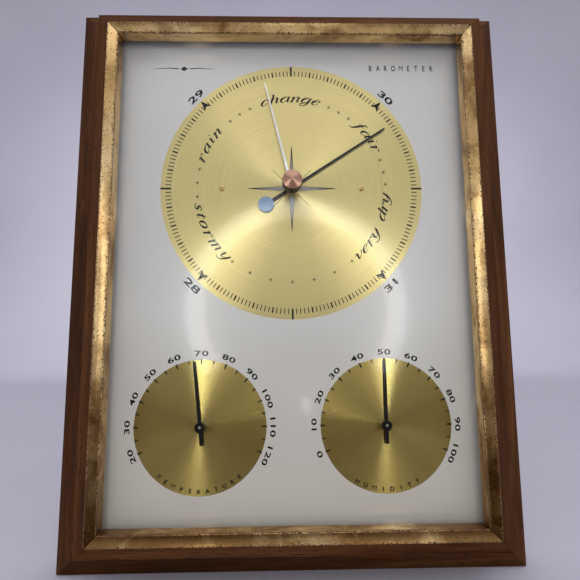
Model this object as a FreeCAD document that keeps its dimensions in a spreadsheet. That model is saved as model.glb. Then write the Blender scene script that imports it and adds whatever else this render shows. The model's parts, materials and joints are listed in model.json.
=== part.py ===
"""Wall weather station: aneroid barometer, thermometer and hygrometer in a mitred frame.

The back face lies in the plane y = 0 and the front looks towards -Y, with +Z up. Heights in the
sheet are distances from that back plane, so a height of 10 is y = -10. The origin is the middle of
the back face. All lengths are in millimetres and all angles in degrees.
"""

import FreeCAD, Part

import math
import os

import Sketcher

SIZES = [
    # case
    ("opening_width", 170.0, "visible glass, across"),
    ("opening_height", 233.0, "visible glass, up"),
    ("margin", 29.5, "edge of the opening to the outer edge of the frame"),
    ("back_tier_outer", 12.0, "height of the outer tier at its outer edge"),
    ("back_tier_inner", 17.3, "height of the outer tier where the inner tier rises"),
    ("tier_step", 10.8, "edge of the opening to the step between the tiers"),
    ("front_tier_outer", 35.0, "height of the inner tier at the step"),
    ("front_tier_inner", 36.4, "height of the inner tier beside the liner"),
    ("edge_ease", 1.0, "radius of the eased wooden edges"),
    ("liner_seat", 5.25, "edge of the opening to the outer edge of the liner's seat"),
    ("liner_bed", 0.86, "edge of the opening to the wood behind the liner's wall"),
    ("glass_rebate", 6.0, "edge of the opening to the wall of the glass rebate"),
    ("cover_rebate", 12.0, "edge of the opening to the wall of the cover rebate"),
    ("cover_thickness", 3.0, "back cover"),
    ("wood_gap", 0.06, "gap at the frame's mitres"),
    ("liner_gap", 0.3, "gap at the liner's mitres"),
    ("liner_lip", 0.22, "edge of the opening to the liner's lip"),
    ("liner_lip_height", 35.4, "height of the liner's lip"),
    ("liner_crest", 36.9, "greatest height of the liner"),
    ("liner_width", 5.2, "edge of the opening to the liner's outer edge"),
    ("liner_crown", 14.0, "radius of the liner's crowned face"),
    ("liner_round", 0.4, "radius of the liner's rolled edges"),
    ("liner_roll", 0.35, "reach of the liner's rolled edges"),
    ("liner_sheet", 0.3, "sheet of the liner behind its lip"),
    ("liner_step", 0.1, "wood that stands proud at the edge of the liner's seat"),
    ("liner_fit", 0.05, "gap between the liner and the wood"),
    ("glass_back", 28.1, "height of the back of the glass"),
    ("glass_front", 30.1, "height of the front of the glass"),
    ("glass_overlap", 5.4, "how far the glass reaches past the opening"),
    ("glass_hole", 3.0, "radius of the hole in the glass"),
    ("spacer_inset", 4.2, "edge of the opening to the spacer strips"),
    ("spacer_outset", 5.8, "edge of the opening to the outside of the spacer strips"),
    ("spacer_gap", 0.2, "gap between the spacer strips at the corners"),
    ("point_back", 23.5, "height of the glazing points"),
    ("point_thickness", 0.5, "glazing point"),
    ("point_reach", 3.5, "glazing point, to each side of the rebate's wall"),
    ("point_half_width", 2.6, "glazing point, along the rebate's wall"),
    ("point_x", 50.0, "glazing points of the level rails, to each side"),
    ("point_z", 70.0, "glazing points of the stiles, up and down"),
    ("nail_depth", 8.5, "corner fastener, along its drive"),
    ("nail_gauge", 0.6, "corner fastener, sheet"),
    ("nail_sink", 0.3, "height of the corner fasteners' back edges"),
    ("nail_reach", 20.0, "edge of the opening to the middle of a corner fastener"),
    ("nail_pitch", 2.6, "corner fastener, fold to fold"),
    ("nail_wave", 0.9, "corner fastener, height of a fold"),
    ("screw_head", 2.9, "wood screw head"),
    ("screw_shank", 1.3, "wood screw shank"),
    ("screw_tip", 0.2, "blunt end of a wood screw"),
    ("screw_sink", 0.05, "depth of a wood screw's head below the back plane"),
    ("screw_cone", 1.6, "height of a wood screw's head"),
    ("screw_point", 2.0, "length of a wood screw's point"),
    ("screw_slot", 0.35, "half width of a wood screw's slot"),
    ("screw_slot_depth", 0.7, "depth of a wood screw's slot"),
    ("screw_gap", 0.1, "clearance round a wood screw"),
    ("cover_screw_length", 12.0, "cover screws"),
    ("cover_screw_x", 94.0, "side screws of the cover, to each side"),
    ("cover_screw_z", 95.0, "side screws of the cover, up and down"),
    ("cover_screw_end", 125.5, "end screws of the cover, up and down"),
    ("cover_gap", 0.3, "gap round the cover"),
    ("vent_x", 55.0, "vents behind the barometer, to each side"),
    ("vent_pitch", 8.0, "vent to vent"),
    ("vent_half_length", 12.0, "straight part of a vent, to each side"),
    ("vent_half_width", 1.5, "vent, up and down"),
    ("adjuster_hole", 3.5, "hole in the cover for the screwdriver"),
    # dial plate
    ("dial_back", 24.1, "height of the back of the dial plate"),
    ("dial_front", 25.1, "height of the front of the dial plate"),
    ("dial_overlap", 5.2, "how far the dial plate reaches past the opening"),
    ("barometer_z", 41.0, "centre of the barometer dial"),
    ("small_dial_x", 43.7, "centres of the small dials, to each side"),
    ("small_dial_z", -74.5, "centres of the small dials, up"),
    ("arbor_hole", 2.5, "hole in the dial plate for the hand arbor"),
    ("eyelet_hole", 1.95, "holes in the dial plate for the small dials' eyelets"),
    # barometer movement, measured from the centre of its dial
    ("post_reach", 35.0, "movement posts, to each side"),
    ("post_radius", 2.5, "movement post"),
    ("rivet_neck", 1.15, "riveted end of a post in the dial plate"),
    ("rivet_head", 1.4, "rivet head on the dial"),
    ("rivet_top", 0.8, "flat top of a rivet head on the dial"),
    ("rivet_rise", 0.25, "half the height of a rivet head on the dial"),
    ("base_back", 5.0, "height of the back of the base plate"),
    ("base_front", 6.2, "height of the front of the base plate"),
    ("base_half_width", 39.0, "base plate, to each side"),
    ("base_low", -30.0, "lower edge of the base plate"),
    ("base_high", 24.0, "upper edge of the base plate"),
    ("base_corner", 8.0, "corner radius of the base plate"),
    ("base_screw", 1.2, "shank radius of the base plate screws"),
    ("base_screw_head", 2.1, "base plate screw head"),
    ("base_screw_length", 4.0, "thread of the base plate screws"),
    ("base_screw_rise", 1.2, "height of the base plate screws' heads"),
    ("driver_half", 0.3, "half width of a machine screw's slot"),
    ("driver_depth", 0.4, "depth of a machine screw's slot"),
    ("small_rivet", 0.8, "shank radius of the movement's rivets"),
    ("small_rivet_head", 1.5, "head radius of the movement's rivets"),
    ("small_rivet_rise", 0.6, "head height of the movement's rivets"),
    ("spring_rivet_x", 3.0, "rivets of the main spring, to each side"),
    ("spring_rivet_z", 13.2, "rivets of the main spring, up"),
    ("left_rivet_x", -25.0, "rivet of the left bearing ear"),
    ("right_rivet_x", 32.0, "rivet of the right bearing ear"),
    ("capsule_z", -10.0, "centre of the vacuum capsule"),
    ("capsule_radius", 17.0, "vacuum capsule"),
    ("capsule_seam", 8.4, "height of the seam between the capsule's halves"),
    ("capsule_half", 1.8, "seam to the outside of a half at its centre"),
    ("capsule_gauge", 0.35, "capsule sheet"),
    ("capsule_rim", 0.4, "thickness of one half at the seam"),
    ("capsule_shoulder", 15.4, "inner edge of the capsule's flat rim"),
    ("crest_reach", 13.4, "radius of the outermost corrugation"),
    ("crest_pitch", 2.0, "corrugation to corrugation"),
    ("crest_high", 1.45, "seam to a crest of the corrugations"),
    ("crest_low", 0.95, "seam to a trough of the corrugations"),
    ("capsule_flat", 5.4, "radius of a half's flat centre"),
    ("capsule_boss", 3.5, "boss between the capsule and the base plate"),
    ("capsule_stem", 1.5, "radius of the capsule's fixed stem"),
    ("stem_back", 3.4, "height of the stem's end"),
    ("nut_back", 3.7, "height of the back of the nut"),
    ("nut_radius", 3.0, "corners of the nut"),
    ("stud_flange", 2.2, "flange of the capsule's moving stud"),
    ("stud_flange_rise", 0.4, "height of the stud's flange"),
    ("stud_point", 0.3, "radius of the stud's blunt tip"),
    ("stud_radius", 1.2, "radius of the capsule's moving stud"),
    ("stud_tip", 12.3, "height of the stud's tip"),
    ("spring_half_width", 5.0, "main spring, to each side"),
    ("spring_gauge", 0.6, "main spring leaf"),
    ("spring_foot", 6.8, "height of the main spring's foot"),
    ("spring_leaf", 11.0, "height of the main spring's upper leaf"),
    ("spring_heel", 11.5, "inner end of the main spring's foot"),
    ("spring_bend", 21.0, "start of the main spring's bend"),
    ("spring_end", 3.5, "capsule's centre to the free end of the main spring"),
    ("spring_block", 14.9, "upper edge of the block under the main spring's foot"),
    ("adjuster_z", 17.0, "adjusting screw"),
    ("adjuster_radius", 1.2, "adjusting screw shank"),
    ("adjuster_head", 2.4, "adjusting screw head"),
    ("adjuster_back", 3.35, "height of the back of the adjusting screw"),
    ("adjuster_rise", 1.6, "height of the adjusting screw's head"),
    ("adjuster_slot", 0.4, "half width of the adjusting screw's slot"),
    ("adjuster_slot_depth", 0.8, "depth of the adjusting screw's slot"),
    ("rocker_z", -15.0, "axis of the rocking shaft, up"),
    ("rocker_height", 13.0, "axis of the rocking shaft, from the back"),
    ("rocker_radius", 1.0, "rocking shaft"),
    ("rocker_left", -21.0, "outer face of the left bearing ear"),
    ("rocker_right", 28.5, "outer face of the right bearing ear"),
    ("ear_gauge", 1.0, "sheet of the bearing ears"),
    ("ear_half_width", 3.0, "bearing ears, up and down"),
    ("ear_foot", 7.0, "outer face of an ear to the end of its foot"),
    ("collar_radius", 2.0, "collars on the rocking shaft"),
    ("collar_width", 1.2, "stop collar of the rocking shaft"),
    ("lift_half_width", 1.5, "lift arm, to each side"),
    ("lift_reach", 6.5, "axis of the rocking shaft to the end of the lift arm"),
    ("lift_gap", 0.05, "capsule stud to the lift arm"),
    ("lift_front", 13.5, "height of the front of the lift arm"),
    ("push_half_width", 1.25, "collar of the push pin, to each side"),
    ("running_gap", 0.05, "radial clearance of a running fit"),
    ("push_reach", 3.75, "sector axis to the push pin"),
    ("push_pin", 0.6, "radius of the push pin"),
    ("push_tip", 21.3, "height of the push pin's end"),
    ("gear_module", 0.4, "module of the sector and the pinion"),
    ("sector_teeth", 120.0, "teeth of the full circle that the sector is part of"),
    ("pinion_teeth", 10.0, "pinion teeth"),
    ("sector_back", 20.2, "height of the back of the sector"),
    ("sector_gauge", 0.8, "sector sheet"),
    ("sector_hub", 3.2, "hub of the sector"),
    ("sector_arbor", 1.0, "radius of the sector's arbor"),
    ("sector_inner", 7.0, "sector axis to the inner edge of its window"),
    ("sector_rim", 20.5, "sector axis to the outer edge of its window"),
    ("sector_tail", 7.5, "sector axis to the end of its forked tail"),
    ("sector_tail_width", 4.4, "forked tail of the sector"),
    ("sector_fork", 2.4, "sector axis to the bottom of the fork"),
    ("fork_gap", 0.1, "clearance of the push pin in the fork"),
    ("pinion_back", 20.0, "height of the back of the pinion"),
    ("pinion_length", 1.2, "pinion face"),
    ("train_back", 17.2, "height of the back train plate"),
    ("train_front", 21.8, "height of the front train plate"),
    ("train_gauge", 0.8, "train plate sheet"),
    ("train_left", -14.0, "left pillars"),
    ("train_right", 27.0, "right pillars"),
    ("train_low", -24.0, "lower pillars"),
    ("train_high", 12.0, "upper pillars"),
    ("train_rim", 4.0, "pillar centre to the edge of a train plate"),
    ("pillar_radius", 1.8, "train pillar"),
    ("pillar_neck", 1.3, "train pillar above the back train plate"),
    ("train_screw", 0.8, "shank radius of the train screws"),
    ("train_screw_head", 1.6, "train screw head"),
    ("train_screw_length", 2.8, "thread of the train screws"),
    ("train_screw_rise", 0.8, "height of the train screws' heads"),
    ("train_corner", 3.5, "corner radius of the train plates"),
    ("train_window_x", 5.0, "left pillars to the window of a train plate"),
    ("train_window_z", 4.0, "lower pillars to the window of a train plate"),
    ("train_window_width", 14.0, "window of a train plate, across"),
    ("train_window_height", 12.0, "window of a train plate, up"),
    ("push_window_half", 1.4, "opening for the push pin, to each side"),
    ("push_window_below", 2.6, "opening for the push pin, down"),
    ("push_window_above", 2.2, "opening for the push pin, up"),
    ("pivot_end", 0.3, "pivot past the face of its plate"),
    ("end_shake", 0.05, "shoulder of an arbor to its plate"),
    ("pivot_radius", 0.45, "train pivots"),
    ("arbor_radius", 0.8, "hand arbor"),
    ("hairspring_outer", 6.8, "outer radius of the hairspring"),
    ("hairspring_back", 18.5, "height of the hairspring"),
    ("hairspring_width", 0.7, "hairspring strip"),
    ("hairspring_gauge", 0.14, "hairspring sheet"),
    ("hairspring_turns", 6.0, "turns of the hairspring"),
    ("hairspring_angle", 200.0, "direction of the hairspring's outer end"),
    ("hairspring_stud", 0.45, "stud at the hairspring's outer end"),
    ("stud_height", 1.5, "height of the hairspring's stud"),
    ("collet_radius", 1.3, "collet of the hairspring"),
    # barometer hands
    ("indicator_angle", 56.6, "rest angle of the indicator hand, clockwise from the top"),
    ("indicator_length", 57.3, "indicator hand"),
    ("indicator_back", 26.2, "height of the indicator hand"),
    ("indicator_gauge", 0.4, "indicator hand sheet"),
    ("indicator_tip", 0.42, "half width of the indicator hand near its tip"),
    ("indicator_root", 0.62, "half width of the indicator hand at its hub"),
    ("indicator_tail", 0.72, "half width of the indicator hand at its weight"),
    ("indicator_hub", 2.3, "hub of the indicator hand"),
    ("hub_below", 0.3, "hub behind the indicator hand"),
    ("hub_above", 0.7, "hub past the back of a black hand"),
    ("weight_slot", 0.74, "half width of the counterweight's slot"),
    ("weight_slot_end", 5.0, "end of the slot, past the middle of the counterweight"),
    ("weight_reach", 15.4, "arbor to the centre of the counterweight"),
    ("weight_radius", 3.9, "counterweight"),
    ("weight_back", 26.02, "height of the counterweight's back"),
    ("weight_thickness", 0.81, "counterweight"),
    ("set_angle", -13.8, "rest angle of the set hand, clockwise from the top"),
    ("set_length", 56.7, "set hand"),
    ("set_back", 27.35, "height of the set hand"),
    ("set_gauge", 0.3, "set hand sheet"),
    ("set_tip", 0.3, "half width of the set hand near its tip"),
    ("set_root", 0.8, "half width of the set hand at its hub"),
    ("set_hub", 2.4, "hub of the set hand"),
    ("set_hub_back", 27.2, "height of the back of the set hand's hub"),
    ("set_hub_front", 27.85, "height of the front of the set hand's hub"),
    ("set_arbor_front", 36.4, "height of the set-hand arbor's end"),
    ("washer_radius", 2.8, "washer between the set hand and the glass"),
    ("washer_back", 27.9, "height of the back of the washer"),
    ("washer_front", 28.05, "height of the front of the washer"),
    ("bushing_flange", 4.1, "flange of the bushing in the glass"),
    ("bushing_rim", 0.4, "thickness of the bushing's flange"),
    ("set_arbor", 1.5, "set-hand arbor radius"),
    ("knob_radius", 4.75, "set knob"),
    ("knob_base", 30.6, "height of the knob's underside"),
    ("knob_rim", 37.65, "height of the knob's rim"),
    ("knob_apex", 38.9, "height of the knob's point"),
    ("knob_neck", 3.4, "neck under the knob"),
    ("knob_neck_rise", 0.5, "height of the knob's neck"),
    ("knob_chamfer", 0.3, "chamfer of the knob's lower edge"),
    ("knurl_start", 1.1, "underside of the knob to its knurling"),
    ("knurl_end", 1.0, "knurling to the knob's rim"),
    ("knurl_half", 0.3, "half width of a knurling groove"),
    ("knurl_depth", 0.28, "depth of a knurling groove"),
    ("cap_spigot", 3.0, "spigot under the cap"),
    ("cap_sink", 1.1, "knob's rim to the end of the cap's spigot"),
    ("cap_edge", 0.45, "knob's rim to the underside of the cap"),
    ("cap_gap", 0.05, "edge of the cap inside the edge of the knob"),
    ("cap_ease", 0.2, "radius of the cap's edge"),
    ("cap_point", 0.3, "radius of the cap's blunt point"),
    # thermometer and hygrometer
    ("small_hand", 31.0, "small hand, hub to tip"),
    ("small_tail", 8.2, "small hand, hub to the end of its tail"),
    ("small_hand_back", 26.3, "height of the small hands"),
    ("small_hub", 2.4, "hub radius of the small hands"),
    ("small_arbor", 0.6, "arbor radius of the small hands"),
    ("small_hand_gauge", 0.4, "small hand sheet"),
    ("small_tip", 0.45, "half width of a small hand near its tip"),
    ("small_root", 0.75, "half width of a small hand at its hub"),
    ("small_end", 0.85, "half width of a small hand at its tail"),
    ("small_hub_below", 0.6, "hub behind a small hand"),
    ("small_arbor_point", 0.15, "domed end of a small arbor"),
    ("eyelet_flange", 2.6, "flange of an eyelet behind its bracket"),
    ("eyelet_flange_rise", 0.4, "thickness of an eyelet's flange"),
    ("eyelet_neck", 1.88, "neck of an eyelet"),
    ("eyelet_lip", 2.1, "rolled lip of an eyelet on the dial"),
    ("eyelet_lip_rise", 0.25, "height of an eyelet's lip"),
    ("bracket_hole", 1.9, "hole for the eyelet in a bracket"),
    ("thermometer_angle", -6.4, "rest angle of the thermometer hand"),
    ("hygrometer_angle", 0.0, "rest angle of the hygrometer hand"),
    ("bracket_back", 8.0, "height of the brackets' back legs"),
    ("bracket_gauge", 1.0, "bracket sheet"),
    ("bracket_width", 8.0, "bracket strap"),
    ("bracket_reach", 16.0, "arbor to the end of a bracket"),
    ("bracket_toe", 4.0, "arbor to the free ends of a bracket's legs"),
    ("coil_back", 12.0, "height of the coils"),
    ("coil_width", 6.0, "coil strip"),
    ("coil_outer", 12.2, "outer radius of the coils"),
    ("coil_post", 0.7, "radius of the post that holds a coil's outer end"),
    ("coil_hub", 1.5, "part of a small arbor that carries the coil"),
    ("coil_room", 0.5, "coil to the ends of the part that carries it"),
    ("coil_fit", 0.02, "hub to the first turn of a coil"),
    # hanging
    ("hanger_z", 137.5, "centre of the hanger plate"),
    ("hanger_half_width", 22.0, "hanger plate, to each side"),
    ("hanger_half_height", 7.0, "hanger plate, up and down"),
    ("hanger_gauge", 1.2, "hanger plate sheet"),
    ("keyhole_z", 135.5, "centre of the keyhole's round part"),
    ("keyhole_radius", 4.0, "round part of the keyhole"),
    ("keyhole_slot", 1.8, "half width of the keyhole's slot"),
    ("keyhole_top", 140.5, "centre of the rounded top of the keyhole's slot"),
    ("hanger_gap", 0.1, "gap round the hanger plate"),
    ("hanger_screw_x", 17.0, "hanger screws, to each side"),
    ("hanger_screw_length", 9.0, "hanger screws"),
    ("hollow_half_width", 6.5, "hollow behind the keyhole, to each side"),
    ("hollow_below", 5.5, "keyhole's round part to the bottom of the hollow"),
    ("hollow_above", 3.5, "keyhole's slot to the top of the hollow"),
    ("hollow_depth", 9.0, "depth of the hollow behind the keyhole"),
]

V = FreeCAD.Vector
TO_FRONT = FreeCAD.Rotation(V(1, 0, 0), 90)
ALONG_X = FreeCAD.Rotation(V(0, 1, 0), 90)
BAROMETER = ("0", "Dim.barometer_z")
THERMOMETER = ("-Dim.small_dial_x", "Dim.small_dial_z")
HYGROMETER = ("Dim.small_dial_x", "Dim.small_dial_z")

doc = FreeCAD.newDocument("weather_station")
sheet = doc.addObject("Spreadsheet::Sheet", "Dim")
pieces = []


def fill_sheet():
    """Write the driving dimensions and give each its alias."""
    for row, (alias, value, meaning) in enumerate(SIZES, start=1):
        sheet.set(f"A{row}", meaning)
        sheet.set(f"B{row}", str(value))
        sheet.setAlias(f"B{row}", alias)
    doc.recompute()


def number(expression):
    """Value of an expression of the sheet's cells."""
    return float(sheet.evalExpression(expression))


def size(alias):
    """Value of one cell of the sheet."""
    return number(f"Dim.{alias}")


# ---- sketches and features -------------------------------------------------------------------


def new_body(label, place=("0", "0"), angle="0"):
    """Body whose own axis is set at a place on the front view and turned clockwise on it."""
    body = doc.addObject("PartDesign::Body", label)
    body.Label = label
    body.Placement = FreeCAD.Placement(V(0, 0, 0), FreeCAD.Rotation(V(0, 1, 0), number(angle)))
    body.setExpression(".Placement.Base.x", place[0])
    body.setExpression(".Placement.Base.z", place[1])
    pieces.append(body)
    return body


def new_sketch(body, role="XZ_Plane", height="0"):
    """Sketch on one of the body's own origin planes, raised along that plane's normal."""
    plane = next(item for item in body.Origin.OriginFeatures if item.Role == role)
    sketch = body.newObject("Sketcher::SketchObject", f"{body.Label}_sketch")
    sketch.AttachmentSupport = [(plane, "")]
    sketch.MapMode = "FlatFace"
    sketch.setExpression(".AttachmentOffset.Base.z", height)
    return sketch


def fix_point(sketch, geometry, position, x, y):
    """Dimension one point of a sketch from its origin."""
    for kind, value in (("DistanceX", x), ("DistanceY", y)):
        rule = Sketcher.Constraint(kind, -1, 1, geometry, position, number(value))
        sketch.setExpression(f"Constraints[{sketch.addConstraint(rule)}]", value)


def arc_between(start, end, radius):
    """Arc that turns left from start to end when radius is positive, and right when negative."""
    chord = end - start
    rise = math.sqrt(radius * radius - chord.Length**2 / 4)
    side = V(-chord.y, chord.x, 0).normalize() * math.copysign(1, radius)
    centre = (start + end) / 2 + side * rise
    middle = centre - side * abs(radius)
    return Part.Arc(start, middle, end)


def outline(sketch, corners):
    """Closed outline through corners (x, y) or, where an arc leads to the next, (x, y, radius)."""
    points = [V(number(corner[0]), number(corner[1]), 0) for corner in corners]
    first = sketch.GeometryCount
    for index, corner in enumerate(corners):
        start = points[index]
        end = points[(index + 1) % len(points)]
        curve = Part.LineSegment(start, end)
        if len(corner) == 3:
            curve = arc_between(start, end, number(corner[2]))
        sketch.addGeometry(curve, False)
    for index, corner in enumerate(corners):
        this = first + index
        following = first + (index + 1) % len(corners)
        here, there = arc_ends(corner), arc_ends(corners[(index + 1) % len(corners)])
        sketch.addConstraint(Sketcher.Constraint("Coincident", this, here[1], following, there[0]))
        fix_point(sketch, this, here[0], corner[0], corner[1])
        if len(corner) == 3:
            radius = f"abs({corner[2]})"
            rule = sketch.addConstraint(Sketcher.Constraint("Radius", this, number(radius)))
            sketch.setExpression(f"Constraints[{rule}]", radius)


def arc_ends(corner):
    """Sketch positions of a segment's start and end: a right-hand arc is stored reversed."""
    reversed_arc = len(corner) == 3 and number(corner[2]) < 0
    return (2, 1) if reversed_arc else (1, 2)


def rectangle(sketch, low, high):
    """Rectangle between two opposite corners."""
    outline(sketch, [low, (high[0], low[1]), high, (low[0], high[1])])


def circle(sketch, x, y, radius):
    """Circle at (x, y)."""
    index = sketch.addGeometry(Part.Circle(V(number(x), number(y), 0), V(0, 0, 1), number(radius)), False)
    fix_point(sketch, index, 3, x, y)
    rule = sketch.addConstraint(Sketcher.Constraint("Radius", index, number(radius)))
    sketch.setExpression(f"Constraints[{rule}]", radius)


def add_feature(body, kind, sketch, length=None, symmetric=False, reverse=False):
    """Pad, pocket or revolution of a sketch; a cut that removes nothing stops the script."""
    before = body.Shape.Volume if body.Tip else 0.0
    feature = body.newObject(f"PartDesign::{kind}", f"{body.Label}_{kind.lower()}")
    feature.Profile = sketch
    if kind == "Revolution":
        feature.ReferenceAxis = (sketch, ["V_Axis"])
        feature.Angle = 360
    else:
        feature.setExpression("Length", length)
        feature.SideType = "Symmetric" if symmetric else "One side"
        feature.Reversed = reverse
    sketch.Visibility = False
    doc.recompute()
    if kind == "Pocket" and body.Shape.Volume > before - 1e-6:
        raise RuntimeError(f"{body.Label}: a pocket cuts nothing")
    return feature


def turned(label, profile, place):
    """Piece turned about its own axis; the profile's corners are (radius, height[, arc])."""
    body = new_body(label, place)
    sketch = new_sketch(body, "XY_Plane")
    outline(sketch, [(corner[0], f"-({corner[1]})", *corner[2:]) for corner in profile])
    add_feature(body, "Revolution", sketch)
    return body


def ring(label, inner, outer, back, front, place):
    """Plain ring or washer."""
    return turned(label, [(inner, back), (outer, back), (outer, front), (inner, front)], place)


def round_corners(body, radius, chosen):
    """Fillet the edges along Y whose middle passes a test on (x, z)."""
    feature = body.Tip
    names = []
    for index, edge in enumerate(feature.Shape.Edges, start=1):
        span = edge.BoundBox
        upright = span.XLength < 1e-6 and span.ZLength < 1e-6
        if upright and chosen(span.Center.x, span.Center.z):
            names.append(f"Edge{index}")
    fillet = body.newObject("PartDesign::Fillet", f"{body.Label}_fillet")
    fillet.Base = (feature, names)
    fillet.setExpression("Radius", radius)
    doc.recompute()


def cut_holes(body, holes, length="200", height="0", symmetric=True):
    """Round holes (x, z, radius) through a body, from the front view."""
    sketch = new_sketch(body, height=height)
    for hole in holes:
        circle(sketch, *hole)
    add_feature(body, "Pocket", sketch, length, symmetric, reverse=not symmetric)


# ---- primitives ------------------------------------------------------------------------------


def rod(kind, radii, height, length, x, z, rotation=TO_FRONT):
    """Part cylinder or cone standing on a height and reaching towards the front."""
    solid = doc.addObject(f"Part::{kind}", kind)
    names = ("Radius",) if kind == "Cylinder" else ("Radius1", "Radius2")
    for name, radius in zip(names, radii):
        solid.setExpression(name, radius)
    solid.setExpression("Height", length)
    set_base(solid, x, f"-({height})", z, rotation)
    return solid


def block(x_span, height_span, z_span):
    """Part box between two values on each axis."""
    solid = doc.addObject("Part::Box", "Block")
    for name, (low, high) in zip(("Length", "Width", "Height"), (x_span, height_span, z_span)):
        solid.setExpression(name, f"({high}) - ({low})")
    set_base(solid, x_span[0], f"-({height_span[1]})", z_span[0], FreeCAD.Rotation())
    return solid


def set_base(solid, x, y, z, rotation):
    """Place a primitive."""
    solid.Placement = FreeCAD.Placement(V(0, 0, 0), rotation)
    for axis, value in zip("xyz", (x, y, z)):
        solid.setExpression(f".Placement.Base.{axis}", value)


def joined(label, solids, tools=()):
    """Union of solids, less the tools."""
    union = doc.addObject("Part::MultiFuse", f"{label}_union" if tools else label)
    union.Shapes = solids
    result = union
    if tools:
        cutter = tools[0]
        if len(tools) > 1:
            cutter = doc.addObject("Part::MultiFuse", f"{label}_tools")
            cutter.Shapes = tools
        result = doc.addObject("Part::Cut", label)
        result.Base = union if len(solids) > 1 else solids[0]
        result.Tool = cutter
        if len(solids) == 1:
            doc.removeObject(union.Name)
    result.Label = label
    pieces.append(result)
    return result


def free_shape(label, shape):
    """Piece whose shape is worked out from the sheet's values."""
    feature = doc.addObject("Part::Feature", label)
    feature.Label = label
    feature.Shape = shape
    pieces.append(feature)


def from_dial(spot, place=BAROMETER):
    """Position on the case of a spot that is measured from a dial's centre."""
    return f"{place[0]} + {spot[0]}", f"{place[1]} + {spot[1]}"


# ---- case ------------------------------------------------------------------------------------

HALF_WIDTH = "Dim.opening_width / 2"
HALF_HEIGHT = "Dim.opening_height / 2"
SIDES = {"top": 1, "bottom": -1, "right": 1, "left": -1}
FASTENER_FOLDS = 5

RAIL = [
    ("Dim.liner_bed", "Dim.glass_front"),
    ("Dim.liner_bed", "Dim.liner_lip_height - Dim.liner_sheet"),
    ("Dim.liner_seat", "Dim.front_tier_inner - Dim.liner_step"),
    ("Dim.liner_seat", "Dim.front_tier_inner"),
    ("Dim.tier_step - Dim.edge_ease", "Dim.front_tier_outer", "-Dim.edge_ease"),
    ("Dim.tier_step", "Dim.front_tier_outer - Dim.edge_ease"),
    ("Dim.tier_step", "Dim.back_tier_inner"),
    ("Dim.margin - Dim.edge_ease", "Dim.back_tier_outer", "-Dim.edge_ease"),
    ("Dim.margin", "Dim.back_tier_outer - Dim.edge_ease"),
    ("Dim.margin", "0"),
    ("Dim.cover_rebate", "0"),
    ("Dim.cover_rebate", "Dim.cover_thickness"),
    ("Dim.glass_rebate", "Dim.cover_thickness"),
    ("Dim.glass_rebate", "Dim.glass_front"),
]

LINER = [
    ("0", "Dim.glass_front"),
    ("Dim.liner_lip", "Dim.liner_lip_height", "-Dim.liner_round"),
    ("Dim.liner_lip + Dim.liner_roll", "Dim.liner_lip_height + Dim.liner_roll", "-Dim.liner_crown"),
    ("Dim.liner_width - Dim.liner_roll", "Dim.liner_crest", "-Dim.liner_round"),
    ("Dim.liner_width", "Dim.liner_crest - Dim.liner_roll"),
    ("Dim.liner_width", "Dim.front_tier_inner - Dim.liner_fit"),
    ("Dim.liner_bed - Dim.liner_fit", "Dim.liner_lip_height - Dim.liner_sheet + Dim.liner_fit"),
    ("Dim.liner_bed - Dim.liner_sheet", "Dim.glass_front"),
]


def moulding(label, profile, side, gap):
    """Straight length of a frame moulding on one side of the opening, mitred at both ends."""
    sign = SIDES[side]
    level = side in ("top", "bottom")
    body = new_body(label)
    sketch = new_sketch(body, "YZ_Plane" if level else "XY_Plane")
    edge = HALF_HEIGHT if level else HALF_WIDTH
    outline(sketch, [section_corner(corner, sign, edge, level) for corner in profile])
    length = "Dim.opening_width" if level else "Dim.opening_height"
    add_feature(body, "Pad", sketch, f"{length} + 2 * Dim.margin", symmetric=True)
    cut_mitres(body, level, sign, gap)
    return body


def section_corner(corner, sign, edge, level):
    """Corner of a moulding's section, from its distance off the opening and its height."""
    across = f"{sign} * ({edge} + {corner[0]})"
    depth = f"-({corner[1]})"
    flip = sign if level else -sign
    bend = [f"{-flip} * ({radius})" for radius in corner[2:]]
    return (depth, across, *bend) if level else (across, depth, *bend)


def cut_mitres(body, level, sign, gap):
    """Cut both ends of a moulding at 45 degrees, leaving half of the joint's gap."""
    sketch = new_sketch(body)
    along, across = (HALF_WIDTH, HALF_HEIGHT) if level else (HALF_HEIGHT, HALF_WIDTH)
    slack = f"0.7071 * {gap}"
    far = "Dim.margin + 1"
    for end in (1, -1):
        corners = [
            (f"{end} * ({along} - 1 - {slack})", f"{sign} * ({across} - 1)"),
            (f"{end} * ({along} + {far} - {slack})", f"{sign} * ({across} + {far})"),
            (f"{end} * ({along} + {far})", f"{sign} * ({across} - 1)"),
        ]
        outline(sketch, corners if level else [(z, x) for x, z in corners])
    add_feature(body, "Pocket", sketch, "200", symmetric=True)


def frame():
    """Four wooden mouldings; the top one is let in for the hanger plate."""
    for side, name in (("bottom", "bottom_rail"), ("left", "left_stile"), ("right", "right_stile")):
        moulding(f"frame_{name}", RAIL, side, "Dim.wood_gap")
    rail = moulding("frame_top_rail", RAIL, "top", "Dim.wood_gap")
    recess = new_sketch(rail)
    across, up = "Dim.hanger_half_width + Dim.hanger_gap", "Dim.hanger_half_height + Dim.hanger_gap"
    rectangle(recess, (f"-({across})", f"Dim.hanger_z - ({up})"), (across, f"Dim.hanger_z + {up}"))
    add_feature(rail, "Pocket", recess, "Dim.hanger_gauge", reverse=True)
    hollow = new_sketch(rail)
    low = ("-Dim.hollow_half_width", "Dim.keyhole_z - Dim.hollow_below")
    rectangle(hollow, low, ("Dim.hollow_half_width", "Dim.keyhole_top + Dim.hollow_above"))
    add_feature(rail, "Pocket", hollow, "Dim.hollow_depth", reverse=True)


def liner():
    """Four rolled brass strips over the inner edge of the frame."""
    for side in SIDES:
        moulding(f"liner_{side}", LINER, side, "Dim.liner_gap")


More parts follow.
